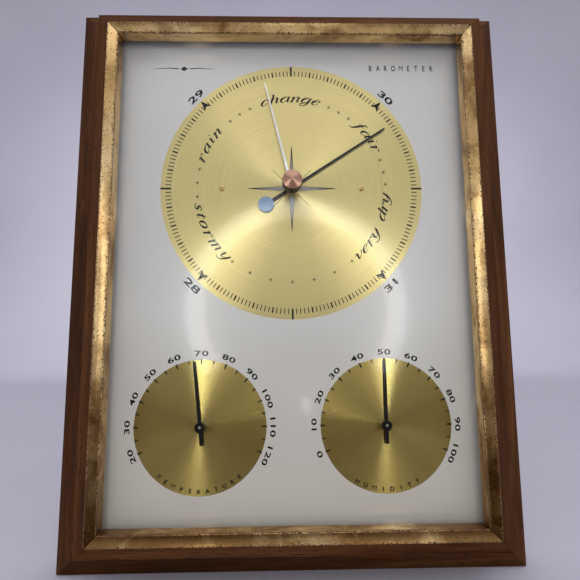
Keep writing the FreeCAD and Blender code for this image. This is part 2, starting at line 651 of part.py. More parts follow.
def corner_fasteners():
    """Corrugated strips driven across the four mitres from behind."""
    body = new_body("corner_fasteners")
    sketch = new_sketch(body, height="Dim.nail_sink")
    for x_sign in (1, -1):
        for z_sign in (1, -1):
            outline(sketch, fastener_corners(x_sign, z_sign))
    add_feature(body, "Pad", sketch, "Dim.nail_depth")


def fastener_corners(x_sign, z_sign):
    """Zigzag outline of one corrugated strip."""
    corners = []
    for side in (1, -1):
        for fold in range(FASTENER_FOLDS)[::side]:
            across = f"({fold - FASTENER_FOLDS // 2}) * Dim.nail_pitch"
            along = f"({1 if fold % 2 else -1}) * Dim.nail_wave + ({side}) * Dim.nail_gauge / 2"
            x = f"({x_sign}) * ({HALF_WIDTH} + Dim.nail_reach + {along} + {across})"
            z = f"({z_sign}) * ({HALF_HEIGHT} + Dim.nail_reach + {along} - {across})"
            corners.append((x, z))
    return corners


def glass_pane():
    """Flat glass with a hole for the set-hand arbor."""
    body = new_body("glass_pane")
    sketch = new_sketch(body, height="Dim.glass_back")
    wide, tall = f"{HALF_WIDTH} + Dim.glass_overlap", f"{HALF_HEIGHT} + Dim.glass_overlap"
    rectangle(sketch, (f"-({wide})", f"-({tall})"), (wide, tall))
    circle(sketch, *BAROMETER, "Dim.glass_hole")
    add_feature(body, "Pad", sketch, "Dim.glass_front - Dim.glass_back")


def glass_spacers():
    """Four strips that hold the glass off the dial plate."""
    body = new_body("glass_spacers")
    sketch = new_sketch(body, height="Dim.dial_front")
    for sign in (1, -1):
        inner, outer = f"{HALF_HEIGHT} + Dim.spacer_inset", f"{HALF_HEIGHT} + Dim.spacer_outset"
        end = f"{HALF_WIDTH} + Dim.spacer_outset"
        rectangle(sketch, (f"-({end})", f"{sign} * ({inner})"), (end, f"{sign} * ({outer})"))
        left, right = f"{HALF_WIDTH} + Dim.spacer_inset", f"{HALF_WIDTH} + Dim.spacer_outset"
        top = f"{HALF_HEIGHT} + Dim.spacer_inset - Dim.spacer_gap"
        rectangle(sketch, (f"{sign} * ({left})", f"-({top})"), (f"{sign} * ({right})", top))
    add_feature(body, "Pad", sketch, "Dim.glass_back - Dim.dial_front")


def dial_plate():
    """Printed plate behind the glass, with holes for arbors, eyelets and posts."""
    body = new_body("dial_plate")
    sketch = new_sketch(body, height="Dim.dial_back")
    wide, tall = f"{HALF_WIDTH} + Dim.dial_overlap", f"{HALF_HEIGHT} + Dim.dial_overlap"
    rectangle(sketch, (f"-({wide})", f"-({tall})"), (wide, tall))
    circle(sketch, *BAROMETER, "Dim.arbor_hole")
    for sign in (1, -1):
        circle(sketch, f"{sign} * Dim.post_reach", "Dim.barometer_z", "Dim.rivet_neck + Dim.running_gap")
        circle(sketch, f"{sign} * Dim.small_dial_x", "Dim.small_dial_z", "Dim.eyelet_hole")
    add_feature(body, "Pad", sketch, "Dim.dial_front - Dim.dial_back")


def glazing_points():
    """Flat steel points pushed into the rebate's walls behind the dial plate."""
    body = new_body("glazing_points")
    sketch = new_sketch(body, height="Dim.point_back")
    for sign in (1, -1):
        for end in (1, -1):
            point_outline(sketch, sign, f"{end} * Dim.point_x", HALF_HEIGHT, level=True)
            point_outline(sketch, sign, f"{end} * Dim.point_z", HALF_WIDTH, level=False)
    add_feature(body, "Pad", sketch, "Dim.point_thickness")


def point_outline(sketch, sign, spot, edge, level):
    """Lozenge whose outer half sits in the wood."""
    wall = f"{edge} + Dim.glass_rebate"
    long, wide = "Dim.point_reach", "Dim.point_half_width"
    corners = [("0", f"-{long}"), (wide, "0"), ("0", long), (f"-{wide}", "0")]
    points = [(f"{spot} + {along}", f"{sign} * ({wall} + {off})") for along, off in corners]
    outline(sketch, points if level else [(off, along) for along, off in points])


COVER_SCREWS = [(f"{x} * Dim.cover_screw_x", f"{z} * Dim.cover_screw_z") for x in (1, -1) for z in (1, -1)]
COVER_SCREWS += [("0", f"{z} * Dim.cover_screw_end") for z in (1, -1)]
HANGER_SCREWS = [(f"{x} * Dim.hanger_screw_x", "Dim.hanger_z") for x in (1, -1)]
VENTS = [(f"{x} * Dim.small_dial_x", "Dim.small_dial_z", 5) for x in (1, -1)]
VENTS += [(f"{x} * Dim.vent_x", "Dim.barometer_z", 3) for x in (1, -1)]


def wood_screws(label, spots, length):
    """Countersunk slotted wood screws whose heads lie flush with the back plane."""
    solids = []
    slots = []
    head, shank, cone, point = "Dim.screw_head", "Dim.screw_shank", "Dim.screw_cone", "Dim.screw_point"
    half = "Dim.screw_slot"
    for x, z in spots:
        solids.append(rod("Cone", (head, shank), "Dim.screw_sink", cone, x, z))
        solids.append(rod("Cylinder", (shank,), cone, f"{length} - {point} - {cone}", x, z))
        solids.append(rod("Cone", (shank, "Dim.screw_tip"), f"{length} - {point}", point, x, z))
        slots.append(block((f"{x} - {half}", f"{x} + {half}"), ("0", "Dim.screw_slot_depth"),
                           (f"{z} - {head} - 1", f"{z} + {head} + 1")))
    joined(label, solids, slots)


def countersinks(spots, thickness):
    """Cutters for flush screws through a sheet."""
    tools = []
    head, shank = "Dim.screw_head + Dim.screw_gap", "Dim.screw_shank + Dim.screw_gap"
    for x, z in spots:
        tools.append(rod("Cone", (head, shank), "0", "Dim.screw_cone", x, z))
        tools.append(rod("Cylinder", (shank,), "-1", f"{thickness} + 2", x, z))
    return tools


def back_cover():
    """Hardboard cover, flush with the back, with vents and a hole for the adjusting screw."""
    wide = f"{HALF_WIDTH} + Dim.cover_rebate - Dim.cover_gap"
    tall = f"{HALF_HEIGHT} + Dim.cover_rebate - Dim.cover_gap"
    board = block((f"-({wide})", wide), ("0", "Dim.cover_thickness"), (f"-({tall})", tall))
    tools = countersinks(COVER_SCREWS, "Dim.cover_thickness")
    for x, z, rows in VENTS:
        for row in range(rows):
            tools.extend(vent(x, f"{z} + ({row - rows // 2}) * Dim.vent_pitch"))
    tools.append(rod("Cylinder", ("Dim.adjuster_hole",), "-1", "Dim.cover_thickness + 2",
                     "0", "Dim.barometer_z + Dim.adjuster_z"))
    joined("back_cover", [board], tools)


def vent(x, z):
    """Slot with round ends."""
    length, width = "Dim.vent_half_length", "Dim.vent_half_width"
    slot = block((f"{x} - {length}", f"{x} + {length}"), ("-1", "Dim.cover_thickness + 1"),
                 (f"{z} - {width}", f"{z} + {width}"))
    ends = [rod("Cylinder", (width,), "-1", "Dim.cover_thickness + 2", f"{x} + {side} * {length}", z)
            for side in (1, -1)]
    return [slot, *ends]


def hanger_plate():
    """Keyhole plate let into the back of the top rail."""
    across = ("-Dim.hanger_half_width", "Dim.hanger_half_width")
    up = ("Dim.hanger_z - Dim.hanger_half_height", "Dim.hanger_z + Dim.hanger_half_height")
    plate = block(across, ("0", "Dim.hanger_gauge"), up)
    tools = countersinks(HANGER_SCREWS, "Dim.hanger_gauge")
    tools.append(rod("Cylinder", ("Dim.keyhole_radius",), "-1", "4", "0", "Dim.keyhole_z"))
    tools.append(rod("Cylinder", ("Dim.keyhole_slot",), "-1", "4", "0", "Dim.keyhole_top"))
    slot = ("-Dim.keyhole_slot", "Dim.keyhole_slot")
    tools.append(block(slot, ("-1", "4"), ("Dim.keyhole_z", "Dim.keyhole_top")))
    joined("hanger_plate", [plate], tools)


# ---- set hand --------------------------------------------------------------------------------

KNURLS = 36


def hand_blade(label, place, angle, back, gauge, length, tail, widths):
    """Flat hand pointing up before it is turned; widths are at the tip, the hub and the tail."""
    body = new_body(label, place, angle)
    sketch = new_sketch(body, height=back)
    tip, root, end = widths
    corners = [
        (f"-{root}", "0"),
        (f"-{end}", f"-({tail})"),
        (f"{end}", f"-({tail})"),
        (f"{root}", "0"),
        (f"{tip}", f"{length} - 2 * {tip}"),
        ("0", length),
        (f"-{tip}", f"{length} - 2 * {tip}"),
    ]
    outline(sketch, corners)
    add_feature(body, "Pad", sketch, gauge)
    return body


def add_hub(body, back, front, radius, bore):
    """Round hub on a hand, with a hole for its arbor."""
    sketch = new_sketch(body, height=back)
    circle(sketch, "0", "0", radius)
    add_feature(body, "Pad", sketch, f"({front}) - ({back})")
    cut_holes(body, [("0", "0", bore)])


def set_hand_group():
    """Knob, arbor, bushing, washer and silver hand that marks an earlier reading."""
    knob_body()
    edge = "Dim.knob_radius - Dim.cap_gap"
    cap = [
        ("0", "Dim.knob_rim - Dim.cap_sink"),
        ("Dim.cap_spigot", "Dim.knob_rim - Dim.cap_sink"),
        ("Dim.cap_spigot", "Dim.knob_rim - Dim.cap_edge"),
        (edge, "Dim.knob_rim - Dim.cap_edge"),
        (edge, "Dim.knob_rim - Dim.cap_ease", "-Dim.cap_ease"),
        (f"{edge} - Dim.cap_ease", "Dim.knob_rim"),
        ("Dim.cap_point", "Dim.knob_apex"),
        ("0", "Dim.knob_apex"),
    ]
    turned("knob_cap", cap, BAROMETER)
    back, front = "Dim.set_hub_back", "Dim.set_arbor_front"
    arbor = [("0", back), ("Dim.set_arbor", back), ("Dim.set_arbor", front), ("0", front)]
    turned("set_arbor", arbor, BAROMETER)
    bore = "Dim.set_arbor + Dim.running_gap"
    neck = "Dim.glass_hole - Dim.running_gap"
    bushing = [
        (bore, "Dim.glass_back"),
        (neck, "Dim.glass_back"),
        (neck, "Dim.glass_front"),
        ("Dim.bushing_flange", "Dim.glass_front"),
        ("Dim.bushing_flange", "Dim.glass_front + Dim.bushing_rim"),
        (bore, "Dim.glass_front + Dim.bushing_rim"),
    ]
    turned("glass_bushing", bushing, BAROMETER)
    ring("set_hand_washer", bore, "Dim.washer_radius", "Dim.washer_back", "Dim.washer_front", BAROMETER)
    hand = hand_blade("set_hand", BAROMETER, "Dim.set_angle", "Dim.set_back", "Dim.set_gauge",
                      "Dim.set_length", "1", ("Dim.set_tip", "Dim.set_root", "Dim.set_root"))
    add_hub(hand, back, "Dim.set_hub_front", "Dim.set_hub", "Dim.set_arbor")


def knob_body():
    """Knurled black knob that holds the copper-coloured cap."""
    neck_top = "Dim.knob_base + Dim.knob_neck_rise"
    rim = "Dim.knob_rim - Dim.cap_edge"
    profile = [
        ("Dim.set_arbor", "Dim.knob_base"),
        ("Dim.knob_neck", "Dim.knob_base"),
        ("Dim.knob_neck", neck_top),
        ("Dim.knob_radius - Dim.knob_chamfer", neck_top),
        ("Dim.knob_radius", f"{neck_top} + Dim.knob_chamfer"),
        ("Dim.knob_radius", f"{rim} - Dim.knob_chamfer / 2"),
        ("Dim.knob_radius - Dim.knob_chamfer / 2", rim),
        ("Dim.cap_spigot", rim),
        ("Dim.cap_spigot", "Dim.knob_rim - Dim.cap_sink"),
        ("Dim.set_arbor", "Dim.knob_rim - Dim.cap_sink"),
    ]
    body = turned("knob_body", profile, BAROMETER)
    groove = new_sketch(body, height="Dim.knob_base + Dim.knurl_start")
    corners = [
        ("-Dim.knurl_half", "Dim.knob_radius + 0.1"),
        ("0", "Dim.knob_radius - Dim.knurl_depth"),
        ("Dim.knurl_half", "Dim.knob_radius + 0.1"),
    ]
    outline(groove, corners)
    length = "Dim.knob_rim - Dim.knob_base - Dim.knurl_start - Dim.knurl_end"
    cut = add_feature(body, "Pocket", groove, length, reverse=True)
    pattern = body.newObject("PartDesign::PolarPattern", "knurl")
    pattern.Originals = [cut]
    pattern.Axis = (groove, ["N_Axis"])
    pattern.Occurrences = KNURLS
    pattern.Angle = 360
    body.Tip = pattern
    doc.recompute()


# ---- barometer movement ----------------------------------------------------------------------

POSTS = [("Dim.post_reach", "0"), ("-Dim.post_reach", "0")]
PILLARS = [(x, z) for x in ("Dim.train_left", "Dim.train_right")
           for z in ("Dim.train_low", "Dim.train_high")]
SPRING_RIVETS = [(f"{x} * Dim.spring_rivet_x", "Dim.spring_rivet_z") for x in (1, -1)]
BRACKET_RIVETS = [("Dim.left_rivet_x", "Dim.rocker_z"), ("Dim.right_rivet_x", "Dim.rocker_z")]
CAPSULE_FOLDS = 4


def movement_posts():
    """Two posts that hang the movement from the dial plate; their riveted heads show in front."""
    solids = []
    bores = []
    rise = "Dim.rivet_rise"
    for spot in POSTS:
        x, z = from_dial(spot)
        solids.append(rod("Cylinder", ("Dim.post_radius",), "Dim.base_front",
                          "Dim.dial_back - Dim.base_front", x, z))
        solids.append(rod("Cylinder", ("Dim.rivet_neck",), "Dim.dial_back - 1", "2", x, z))
        solids.append(rod("Cylinder", ("Dim.rivet_head",), "Dim.dial_front", rise, x, z))
        solids.append(rod("Cone", ("Dim.rivet_head", "Dim.rivet_top"), f"Dim.dial_front + {rise}", rise, x, z))
        bores.append(rod("Cylinder", ("Dim.base_screw",), "Dim.base_front - 1", "Dim.base_screw_length", x, z))
    joined("movement_posts", solids, bores)


def train_pillars():
    """Four shouldered pillars that carry both train plates."""
    solids = []
    bores = []
    top = "Dim.train_front + Dim.train_gauge"
    for spot in PILLARS:
        x, z = from_dial(spot)
        solids.append(rod("Cylinder", ("Dim.pillar_radius",), "Dim.base_front",
                          "Dim.train_back - Dim.base_front", x, z))
        solids.append(rod("Cylinder", ("Dim.pillar_neck",), "Dim.train_back - 1",
                          "Dim.train_front - Dim.train_back + 1", x, z))
        bores.append(rod("Cylinder", ("Dim.base_screw",), "Dim.base_front - 1", "Dim.base_screw_length", x, z))
        bores.append(rod("Cylinder", ("Dim.train_screw",), f"{top} - Dim.train_screw_length",
                         "Dim.train_screw_length", x, z))
    joined("train_pillars", solids, bores)


def machine_screws(label, spots, shank, head, seat, thread, depth, towards_back):
    """Slotted cheese-head screws; the head lies on the seat, on the side it is driven from."""
    solids = []
    slots = []
    low_head = f"{seat} - {depth}" if towards_back else seat
    low_shank = seat if towards_back else f"{seat} - {thread}"
    driver, half = "Dim.driver_depth", "Dim.driver_half"
    low_slot = f"{seat} - {depth} - 1" if towards_back else f"{seat} + {depth} - {driver}"
    for spot in spots:
        x, z = from_dial(spot)
        solids.append(rod("Cylinder", (head,), low_head, depth, x, z))
        solids.append(rod("Cylinder", (shank,), low_shank, thread, x, z))
        slots.append(block((f"{x} - {half}", f"{x} + {half}"), (low_slot, f"{low_slot} + 1 + {driver}"),
                           (f"{z} - {head} - 1", f"{z} + {head} + 1")))
    joined(label, solids, slots)


def base_plate():
    """Plate that carries the capsule, the spring, the rocking shaft and the pillars."""
    body = new_body("base_plate", BAROMETER)
    sketch = new_sketch(body, height="Dim.base_back")
    rectangle(sketch, ("-Dim.base_half_width", "Dim.base_low"), ("Dim.base_half_width", "Dim.base_high"))
    add_feature(body, "Pad", sketch, "Dim.base_front - Dim.base_back")
    round_corners(body, "Dim.base_corner", lambda x, z: True)
    holes = [(x, z, "Dim.base_screw + Dim.running_gap") for x, z in POSTS + PILLARS]
    holes += [(x, z, "Dim.small_rivet") for x, z in SPRING_RIVETS + BRACKET_RIVETS]
    holes.append(("0", "Dim.capsule_z", "Dim.capsule_stem + Dim.running_gap"))
    holes.append(("0", "Dim.adjuster_z", "Dim.adjuster_radius + Dim.running_gap"))
    cut_holes(body, holes)


def capsule_profile(side):
    """Corrugated half of the capsule, from its seam rim in to its flat centre."""
    def height(depth):
        return f"Dim.capsule_seam + {side} * ({depth})"

    crests = []
    for fold in range(CAPSULE_FOLDS):
        level = "Dim.crest_low" if fold % 2 else "Dim.crest_high"
        crests.append((f"Dim.crest_reach - {fold} * Dim.crest_pitch", level))
    crests += [("Dim.capsule_flat", "Dim.capsule_half"), ("0", "Dim.capsule_half")]
    outer = [("Dim.capsule_radius", "Dim.capsule_rim"), ("Dim.capsule_shoulder", "Dim.capsule_rim"), *crests]
    inner = [(radius, f"{depth} - Dim.capsule_gauge") for radius, depth in crests[::-1]]
    inner += [("Dim.capsule_shoulder - Dim.capsule_gauge", "0"), ("Dim.capsule_radius", "0")]
    return [(radius, height(depth)) for radius, depth in outer + inner]


def capsule():
    """Evacuated capsule: a fixed back half, a front half that rises and falls, and its stud."""
    centre = from_dial(("0", "Dim.capsule_z"))
    back = turned("capsule_back", capsule_profile(-1), centre)
    stem = new_sketch(back, height="Dim.stem_back")
    circle(stem, "0", "0", "Dim.capsule_stem")
    add_feature(back, "Pad", stem, "Dim.capsule_seam - Dim.capsule_half - Dim.stem_back + 0.1")
    boss = new_sketch(back, height="Dim.base_front")
    circle(boss, "0", "0", "Dim.capsule_boss")
    add_feature(back, "Pad", boss, "Dim.capsule_seam - Dim.capsule_half - Dim.base_front + 0.1")
    turned("capsule_front", capsule_profile(1), centre)
    front = "Dim.capsule_seam + Dim.capsule_half"
    stud = [
        ("0", front),
        ("Dim.stud_flange", front),
        ("Dim.stud_flange", f"{front} + Dim.stud_flange_rise"),
        ("Dim.stud_radius", f"{front} + Dim.stud_flange_rise"),
        ("Dim.stud_radius", "Dim.stud_tip - 0.5"),
        ("Dim.stud_point", "Dim.stud_tip"),
        ("0", "Dim.stud_tip"),
    ]
    turned("capsule_stud", stud, centre)
    capsule_nut(centre)


def capsule_nut(centre):
    """Hexagonal nut on the capsule's stem, behind the base plate."""
    body = new_body("capsule_nut", centre)
    sketch = new_sketch(body, height="Dim.nut_back")
    corners = []
    for turn in range(6):
        corners.append((f"Dim.nut_radius * cos({60 * turn} deg)", f"Dim.nut_radius * sin({60 * turn} deg)"))
    outline(sketch, corners)
    circle(sketch, "0", "0", "Dim.capsule_stem")
    add_feature(body, "Pad", sketch, "Dim.base_back - Dim.nut_back")


def main_spring():
    """Leaf bent back over the capsule, which holds the stud up against the air's pressure."""
    body = new_body("main_spring", BAROMETER)
    sketch = new_sketch(body, "YZ_Plane")
    foot, leaf, gauge = "Dim.spring_foot", "Dim.spring_leaf", "Dim.spring_gauge"
    outside = f"(({leaf}) - ({foot}) + {gauge}) / 2"
    inside = f"(({leaf}) - ({foot}) - {gauge}) / 2"
    corners = [
        (f"-({foot})", "Dim.spring_heel"),
        (f"-({foot})", "Dim.spring_bend", f"{outside} + 0.0001"),
        (f"-({leaf} + {gauge})", "Dim.spring_bend"),
        (f"-({leaf} + {gauge})", "Dim.capsule_z - Dim.spring_end"),
        (f"-({leaf})", "Dim.capsule_z - Dim.spring_end"),
        (f"-({leaf})", "Dim.spring_bend", f"-({inside} + 0.0001)"),
        (f"-({foot} + {gauge})", "Dim.spring_bend"),
        (f"-({foot} + {gauge})", "Dim.spring_heel"),
    ]
    outline(sketch, corners)
    add_feature(body, "Pad", sketch, "2 * Dim.spring_half_width", symmetric=True)
    cut_holes(body, [("0", "Dim.capsule_z", "Dim.stud_radius + 0.1")])
    cut_holes(body, [(x, z, "Dim.small_rivet") for x, z in SPRING_RIVETS], "Dim.base_back + 3", symmetric=False)
    foot_block = new_body("spring_foot_block", BAROMETER)
    seat = new_sketch(foot_block, height="Dim.base_front")
    half = "Dim.spring_half_width"
    rectangle(seat, (f"-{half}", "Dim.spring_heel"), (half, "Dim.spring_block"))
    for x, z in SPRING_RIVETS:
        circle(seat, x, z, "Dim.small_rivet")
    add_feature(foot_block, "Pad", seat, "Dim.spring_foot - Dim.base_front")


def movement_rivets():
    """Rivets of the spring's foot and of the bearing ears."""
    solids = []
    grips = [(spot, "Dim.spring_foot + Dim.spring_gauge") for spot in SPRING_RIVETS]
    grips += [(spot, "Dim.base_front + Dim.ear_gauge") for spot in BRACKET_RIVETS]
    for spot, front in grips:
        x, z = from_dial(spot)
        grip = f"{front} - Dim.base_back + 0.4"
        solids.append(rod("Cylinder", ("Dim.small_rivet_head",), "Dim.base_back - 0.5", "0.5", x, z))
        solids.append(rod("Cylinder", ("Dim.small_rivet",), "Dim.base_back - 0.2", grip, x, z))
        solids.append(rod("Cone", ("Dim.small_rivet_head", "0.9"), front, "Dim.small_rivet_rise", x, z))
    joined("movement_rivets", solids)


def adjusting_screw():
    """Screw that sets the barometer to the local reading, reached through the back cover."""
    x, z = from_dial(("0", "Dim.adjuster_z"))
    head = rod("Cylinder", ("Dim.adjuster_head",), "Dim.adjuster_back", "Dim.adjuster_rise", x, z)
    shank = rod("Cylinder", ("Dim.adjuster_radius",), "Dim.base_back - 0.1",
                "Dim.spring_foot - Dim.base_back", x, z)
    slot = block(("-Dim.adjuster_slot", "Dim.adjuster_slot"),
                 ("Dim.adjuster_back - 1", "Dim.adjuster_back + Dim.adjuster_slot_depth"),
                 (f"{z} - Dim.adjuster_head - 1", f"{z} + Dim.adjuster_head + 1"))
    joined("adjusting_screw", [head, shank], [slot])


def rocking_shaft():
    """Shaft with an arm that the capsule lifts and an arm that pushes the sector round."""
    ends = ("Dim.rocker_left - 0.8", "Dim.rocker_right + 0.8")
    z = "Dim.barometer_z + Dim.rocker_z"
    length = f"({ends[1]}) - ({ends[0]})"
    shaft = rod("Cylinder", ("Dim.rocker_radius",), "Dim.rocker_height", length, ends[0], z, ALONG_X)
    stop = rocker_collar("Dim.rocker_left + Dim.ear_gauge + 0.1", "Dim.collar_width", z)
    joined("rocker_shaft", [shaft, stop])
    bore = rod("Cylinder", ("Dim.rocker_radius",), "Dim.rocker_height", "60", "-30", z, ALONG_X)
    half = "Dim.lift_half_width"
    finger = block((f"-{half}", half), ("Dim.stud_tip + Dim.lift_gap", "Dim.lift_front"),
                   (z, f"{z} + Dim.lift_reach"))
    joined("rocker_lift_arm", [rocker_collar(f"-{half}", f"2 * {half}", z), finger], [bore])
    pin_x = "Dim.sector_x + Dim.push_reach"
    pin = rod("Cylinder", ("Dim.push_pin",), "Dim.rocker_height",
              "Dim.push_tip - Dim.rocker_height", pin_x, z)
    bore = rod("Cylinder", ("Dim.rocker_radius",), "Dim.rocker_height", "60", "-30", z, ALONG_X)
    collar = rocker_collar(f"{pin_x} - Dim.push_half_width", "2 * Dim.push_half_width", z)
    joined("rocker_push_arm", [collar, pin], [bore])


def rocker_collar(x, width, z):
    """Collar round the rocking shaft."""
    return rod("Cylinder", ("Dim.collar_radius",), "Dim.rocker_height", width, x, z, ALONG_X)


def rocker_bracket():
    """Two bent ears that carry the rocking shaft."""
    solids = []
    z = "Dim.barometer_z + Dim.rocker_z"
    span = (f"{z} - Dim.ear_half_width", f"{z} + Dim.ear_half_width")
    gauge = "Dim.ear_gauge"
    feet = (("Dim.rocker_left - Dim.ear_foot", f"Dim.rocker_left + {gauge}"),
            (f"Dim.rocker_right - {gauge}", "Dim.rocker_right + Dim.ear_foot"))
    ears = (("Dim.rocker_left", f"Dim.rocker_left + {gauge}"),
            (f"Dim.rocker_right - {gauge}", "Dim.rocker_right"))
    for foot, ear in zip(feet, ears):
        solids.append(block(foot, ("Dim.base_front", f"Dim.base_front + {gauge}"), span))
        solids.append(block(ear, ("Dim.base_front", "Dim.rocker_height"), span))
        solids.append(rod("Cylinder", ("Dim.ear_half_width",), "Dim.rocker_height", gauge, ear[0], z, ALONG_X))
    bore = rod("Cylinder", ("Dim.rocker_radius + Dim.running_gap",), "Dim.rocker_height",
               "80", "-40", z, ALONG_X)
    holes = [rod("Cylinder", ("Dim.small_rivet",), "Dim.base_back", "4", *from_dial(spot))
             for spot in BRACKET_RIVETS]
    joined("rocker_bracket", solids, [bore, *holes])


def add_derived_sizes():
    """Cells worked out from the others: where the sector's arbor must stand to mesh."""
    row = len(SIZES) + 1
    reach = "gear_module * (sector_teeth + pinion_teeth) / 2"
    sheet.set(f"A{row}", "distance between the sector's arbor and the hand arbor")
    sheet.set(f"B{row}", f"={reach}")
    sheet.setAlias(f"B{row}", "gear_distance")
    doc.recompute()
    sheet.set(f"A{row + 1}", "sector arbor, to the right")
    sheet.set(f"B{row + 1}", "=sqrt(gear_distance ^ 2 - rocker_z ^ 2)")
    sheet.setAlias(f"B{row + 1}", "sector_x")
    doc.recompute()


def train_plates():
    """Back and front plates that carry the pivots of the sector and the hand arbor."""
    left, low = "Dim.train_left + Dim.train_window_x", "Dim.train_low + Dim.train_window_z"
    window = [(left, low), (f"{left} + Dim.train_window_width", f"{low} + Dim.train_window_height")]
    for label, height, pillar_hole, arbor_hole in (
        ("train_plate_back", "Dim.train_back", "Dim.pillar_neck", "Dim.pivot_radius"),
        ("train_plate_front", "Dim.train_front", "Dim.train_screw", "Dim.arbor_radius"),
    ):
        body = new_body(label, BAROMETER)
        sketch = new_sketch(body, height=height)
        low = ("Dim.train_left - Dim.train_rim", "Dim.train_low - Dim.train_rim")
        high = ("Dim.train_right + Dim.train_rim", "Dim.train_high + Dim.train_rim")
        rectangle(sketch, low, high)
        rectangle(sketch, *window)
        push_x, half = "Dim.sector_x + Dim.push_reach", "Dim.push_window_half"
        rectangle(sketch, (f"{push_x} - {half}", "Dim.rocker_z - Dim.push_window_below"),
                  (f"{push_x} + {half}", "Dim.rocker_z + Dim.push_window_above"))
        add_feature(body, "Pad", sketch, "Dim.train_gauge")
        edge = size("train_left") - size("train_rim") + 0.01
        far = size("train_right") + size("train_rim") - 0.01
        round_corners(body, "Dim.train_corner", lambda x, z: x < edge or x > far)
        holes = [(x, z, f"{pillar_hole} + Dim.running_gap") for x, z in PILLARS]
        holes.append(("0", "0", f"{arbor_hole} + Dim.running_gap"))
        holes.append(("Dim.sector_x", "Dim.rocker_z", "Dim.pivot_radius + Dim.running_gap"))
        cut_holes(body, holes)


PRESSURE_ANGLE = math.radians(20)
SECTOR_TOOTH = (0.26, 0.52, 0.04)
PINION_TOOTH = (0.42, 0.42, 0.08)


def tooth(centre, radius, turn, teeth, addendum, dedendum, slack):
    """Points of one tooth, root to root, with involute flanks, on a gear round a centre."""
    base = radius * math.cos(PRESSURE_ANGLE)
    half_at_pitch = math.pi / (2 * teeth) - slack / (2 * radius)
    pitch_roll = math.tan(PRESSURE_ANGLE) - PRESSURE_ANGLE
    flank = []
    for reach in (radius - dedendum, radius - dedendum / 2, radius, radius + addendum / 2, radius + addendum):
        roll = math.acos(min(1.0, base / reach))
        half = half_at_pitch + pitch_roll - (math.tan(roll) - roll)
        flank.append((reach, half))
    points = [polar(centre, reach, turn + half) for reach, half in flank]
    return points + [polar(centre, reach, turn - half) for reach, half in flank[::-1]]


def polar(centre, reach, angle):
    """Point at a reach and angle from a centre, in the front view's plane."""
    return V(centre.x + reach * math.cos(angle), 0, centre.z + reach * math.sin(angle))


def prism(points, back, thickness):
    """Solid between two heights with a polygon as its outline."""
    face = Part.Face(Part.makePolygon([*points, points[0]]))
    solid = face.extrude(V(0, -thickness, 0))
    solid.translate(V(0, -back, 0))
    return solid


def cylinder(radius, back, front, centre):
    """Cylinder between two heights."""
    return Part.makeCylinder(radius, front - back, V(centre.x, -back, centre.z), V(0, -1, 0))


def gear_line():
    """Centres of the sector and the hand arbor, and the angle of the line between them."""
    hub = V(0, 0, size("barometer_z"))
    sector = V(size("sector_x"), 0, size("barometer_z") + size("rocker_z"))
    return sector, hub, math.atan2(hub.z - sector.z, hub.x - sector.x)


def sector_gear():
    """Toothed sector with a forked tail, and its arbor."""
    sector, _, line = gear_line()
    teeth = int(size("sector_teeth"))
    pitch = 2 * math.pi / teeth
    radius = size("gear_module") * teeth / 2
    rim = []
    for index in range(5, -4, -1):
        rim += tooth(sector, radius, line + (index + 0.5) * pitch, teeth, *SECTOR_TOOTH)
    back, gauge = size("sector_back"), size("sector_gauge")
    first, last = line + 6.4 * pitch, line - 3.4 * pitch
    root = radius - SECTOR_TOOTH[1]
    shape = prism([sector, polar(sector, root, first), *rim, polar(sector, root, last)], back, gauge)
    inner, outer = size("sector_inner"), size("sector_rim")
    window = [polar(sector, inner, first - pitch), polar(sector, outer, first - 0.8 * pitch),
              polar(sector, outer, last + 0.8 * pitch), polar(sector, inner, last + pitch)]
    shape = shape.cut(prism(window, back, gauge))
    shape = shape.fuse(cylinder(size("sector_hub"), back, back + gauge, sector))
    tail = tail_box(sector, 0, size("sector_tail"), size("sector_tail_width"))
    fork = tail_box(sector, size("sector_fork"), size("sector_tail"), 2 * (size("push_pin") + size("fork_gap")))
    shape = shape.fuse(tail).cut(fork)
    shape = shape.cut(cylinder(size("sector_arbor"), back, back + gauge, sector)).removeSplitter()
    free_shape("sector_gear", shape)
    place = from_dial(("Dim.sector_x", "Dim.rocker_z"))
    shoulder_back = "Dim.train_back + Dim.train_gauge + Dim.end_shake"
    shoulder_front = "Dim.train_front - Dim.end_shake"
    arbor = [
        ("0", "Dim.train_back - Dim.pivot_end"),
        ("Dim.pivot_radius", "Dim.train_back - Dim.pivot_end"),
        ("Dim.pivot_radius", shoulder_back),
        ("Dim.sector_arbor", shoulder_back),
        ("Dim.sector_arbor", shoulder_front),
        ("Dim.pivot_radius", shoulder_front),
        ("Dim.pivot_radius", "Dim.train_front + Dim.train_gauge + Dim.pivot_end"),
        ("0", "Dim.train_front + Dim.train_gauge + Dim.pivot_end"),
    ]
    turned("sector_arbor", arbor, place)


def tail_box(sector, start, end, width):
    """Bar of the sector's thickness that runs to the right from its axis."""
    back, gauge = size("sector_back"), size("sector_gauge")
    corner = V(sector.x + start, -back - gauge, sector.z - width / 2)
    return Part.makeBox(end - start, gauge, width, corner)


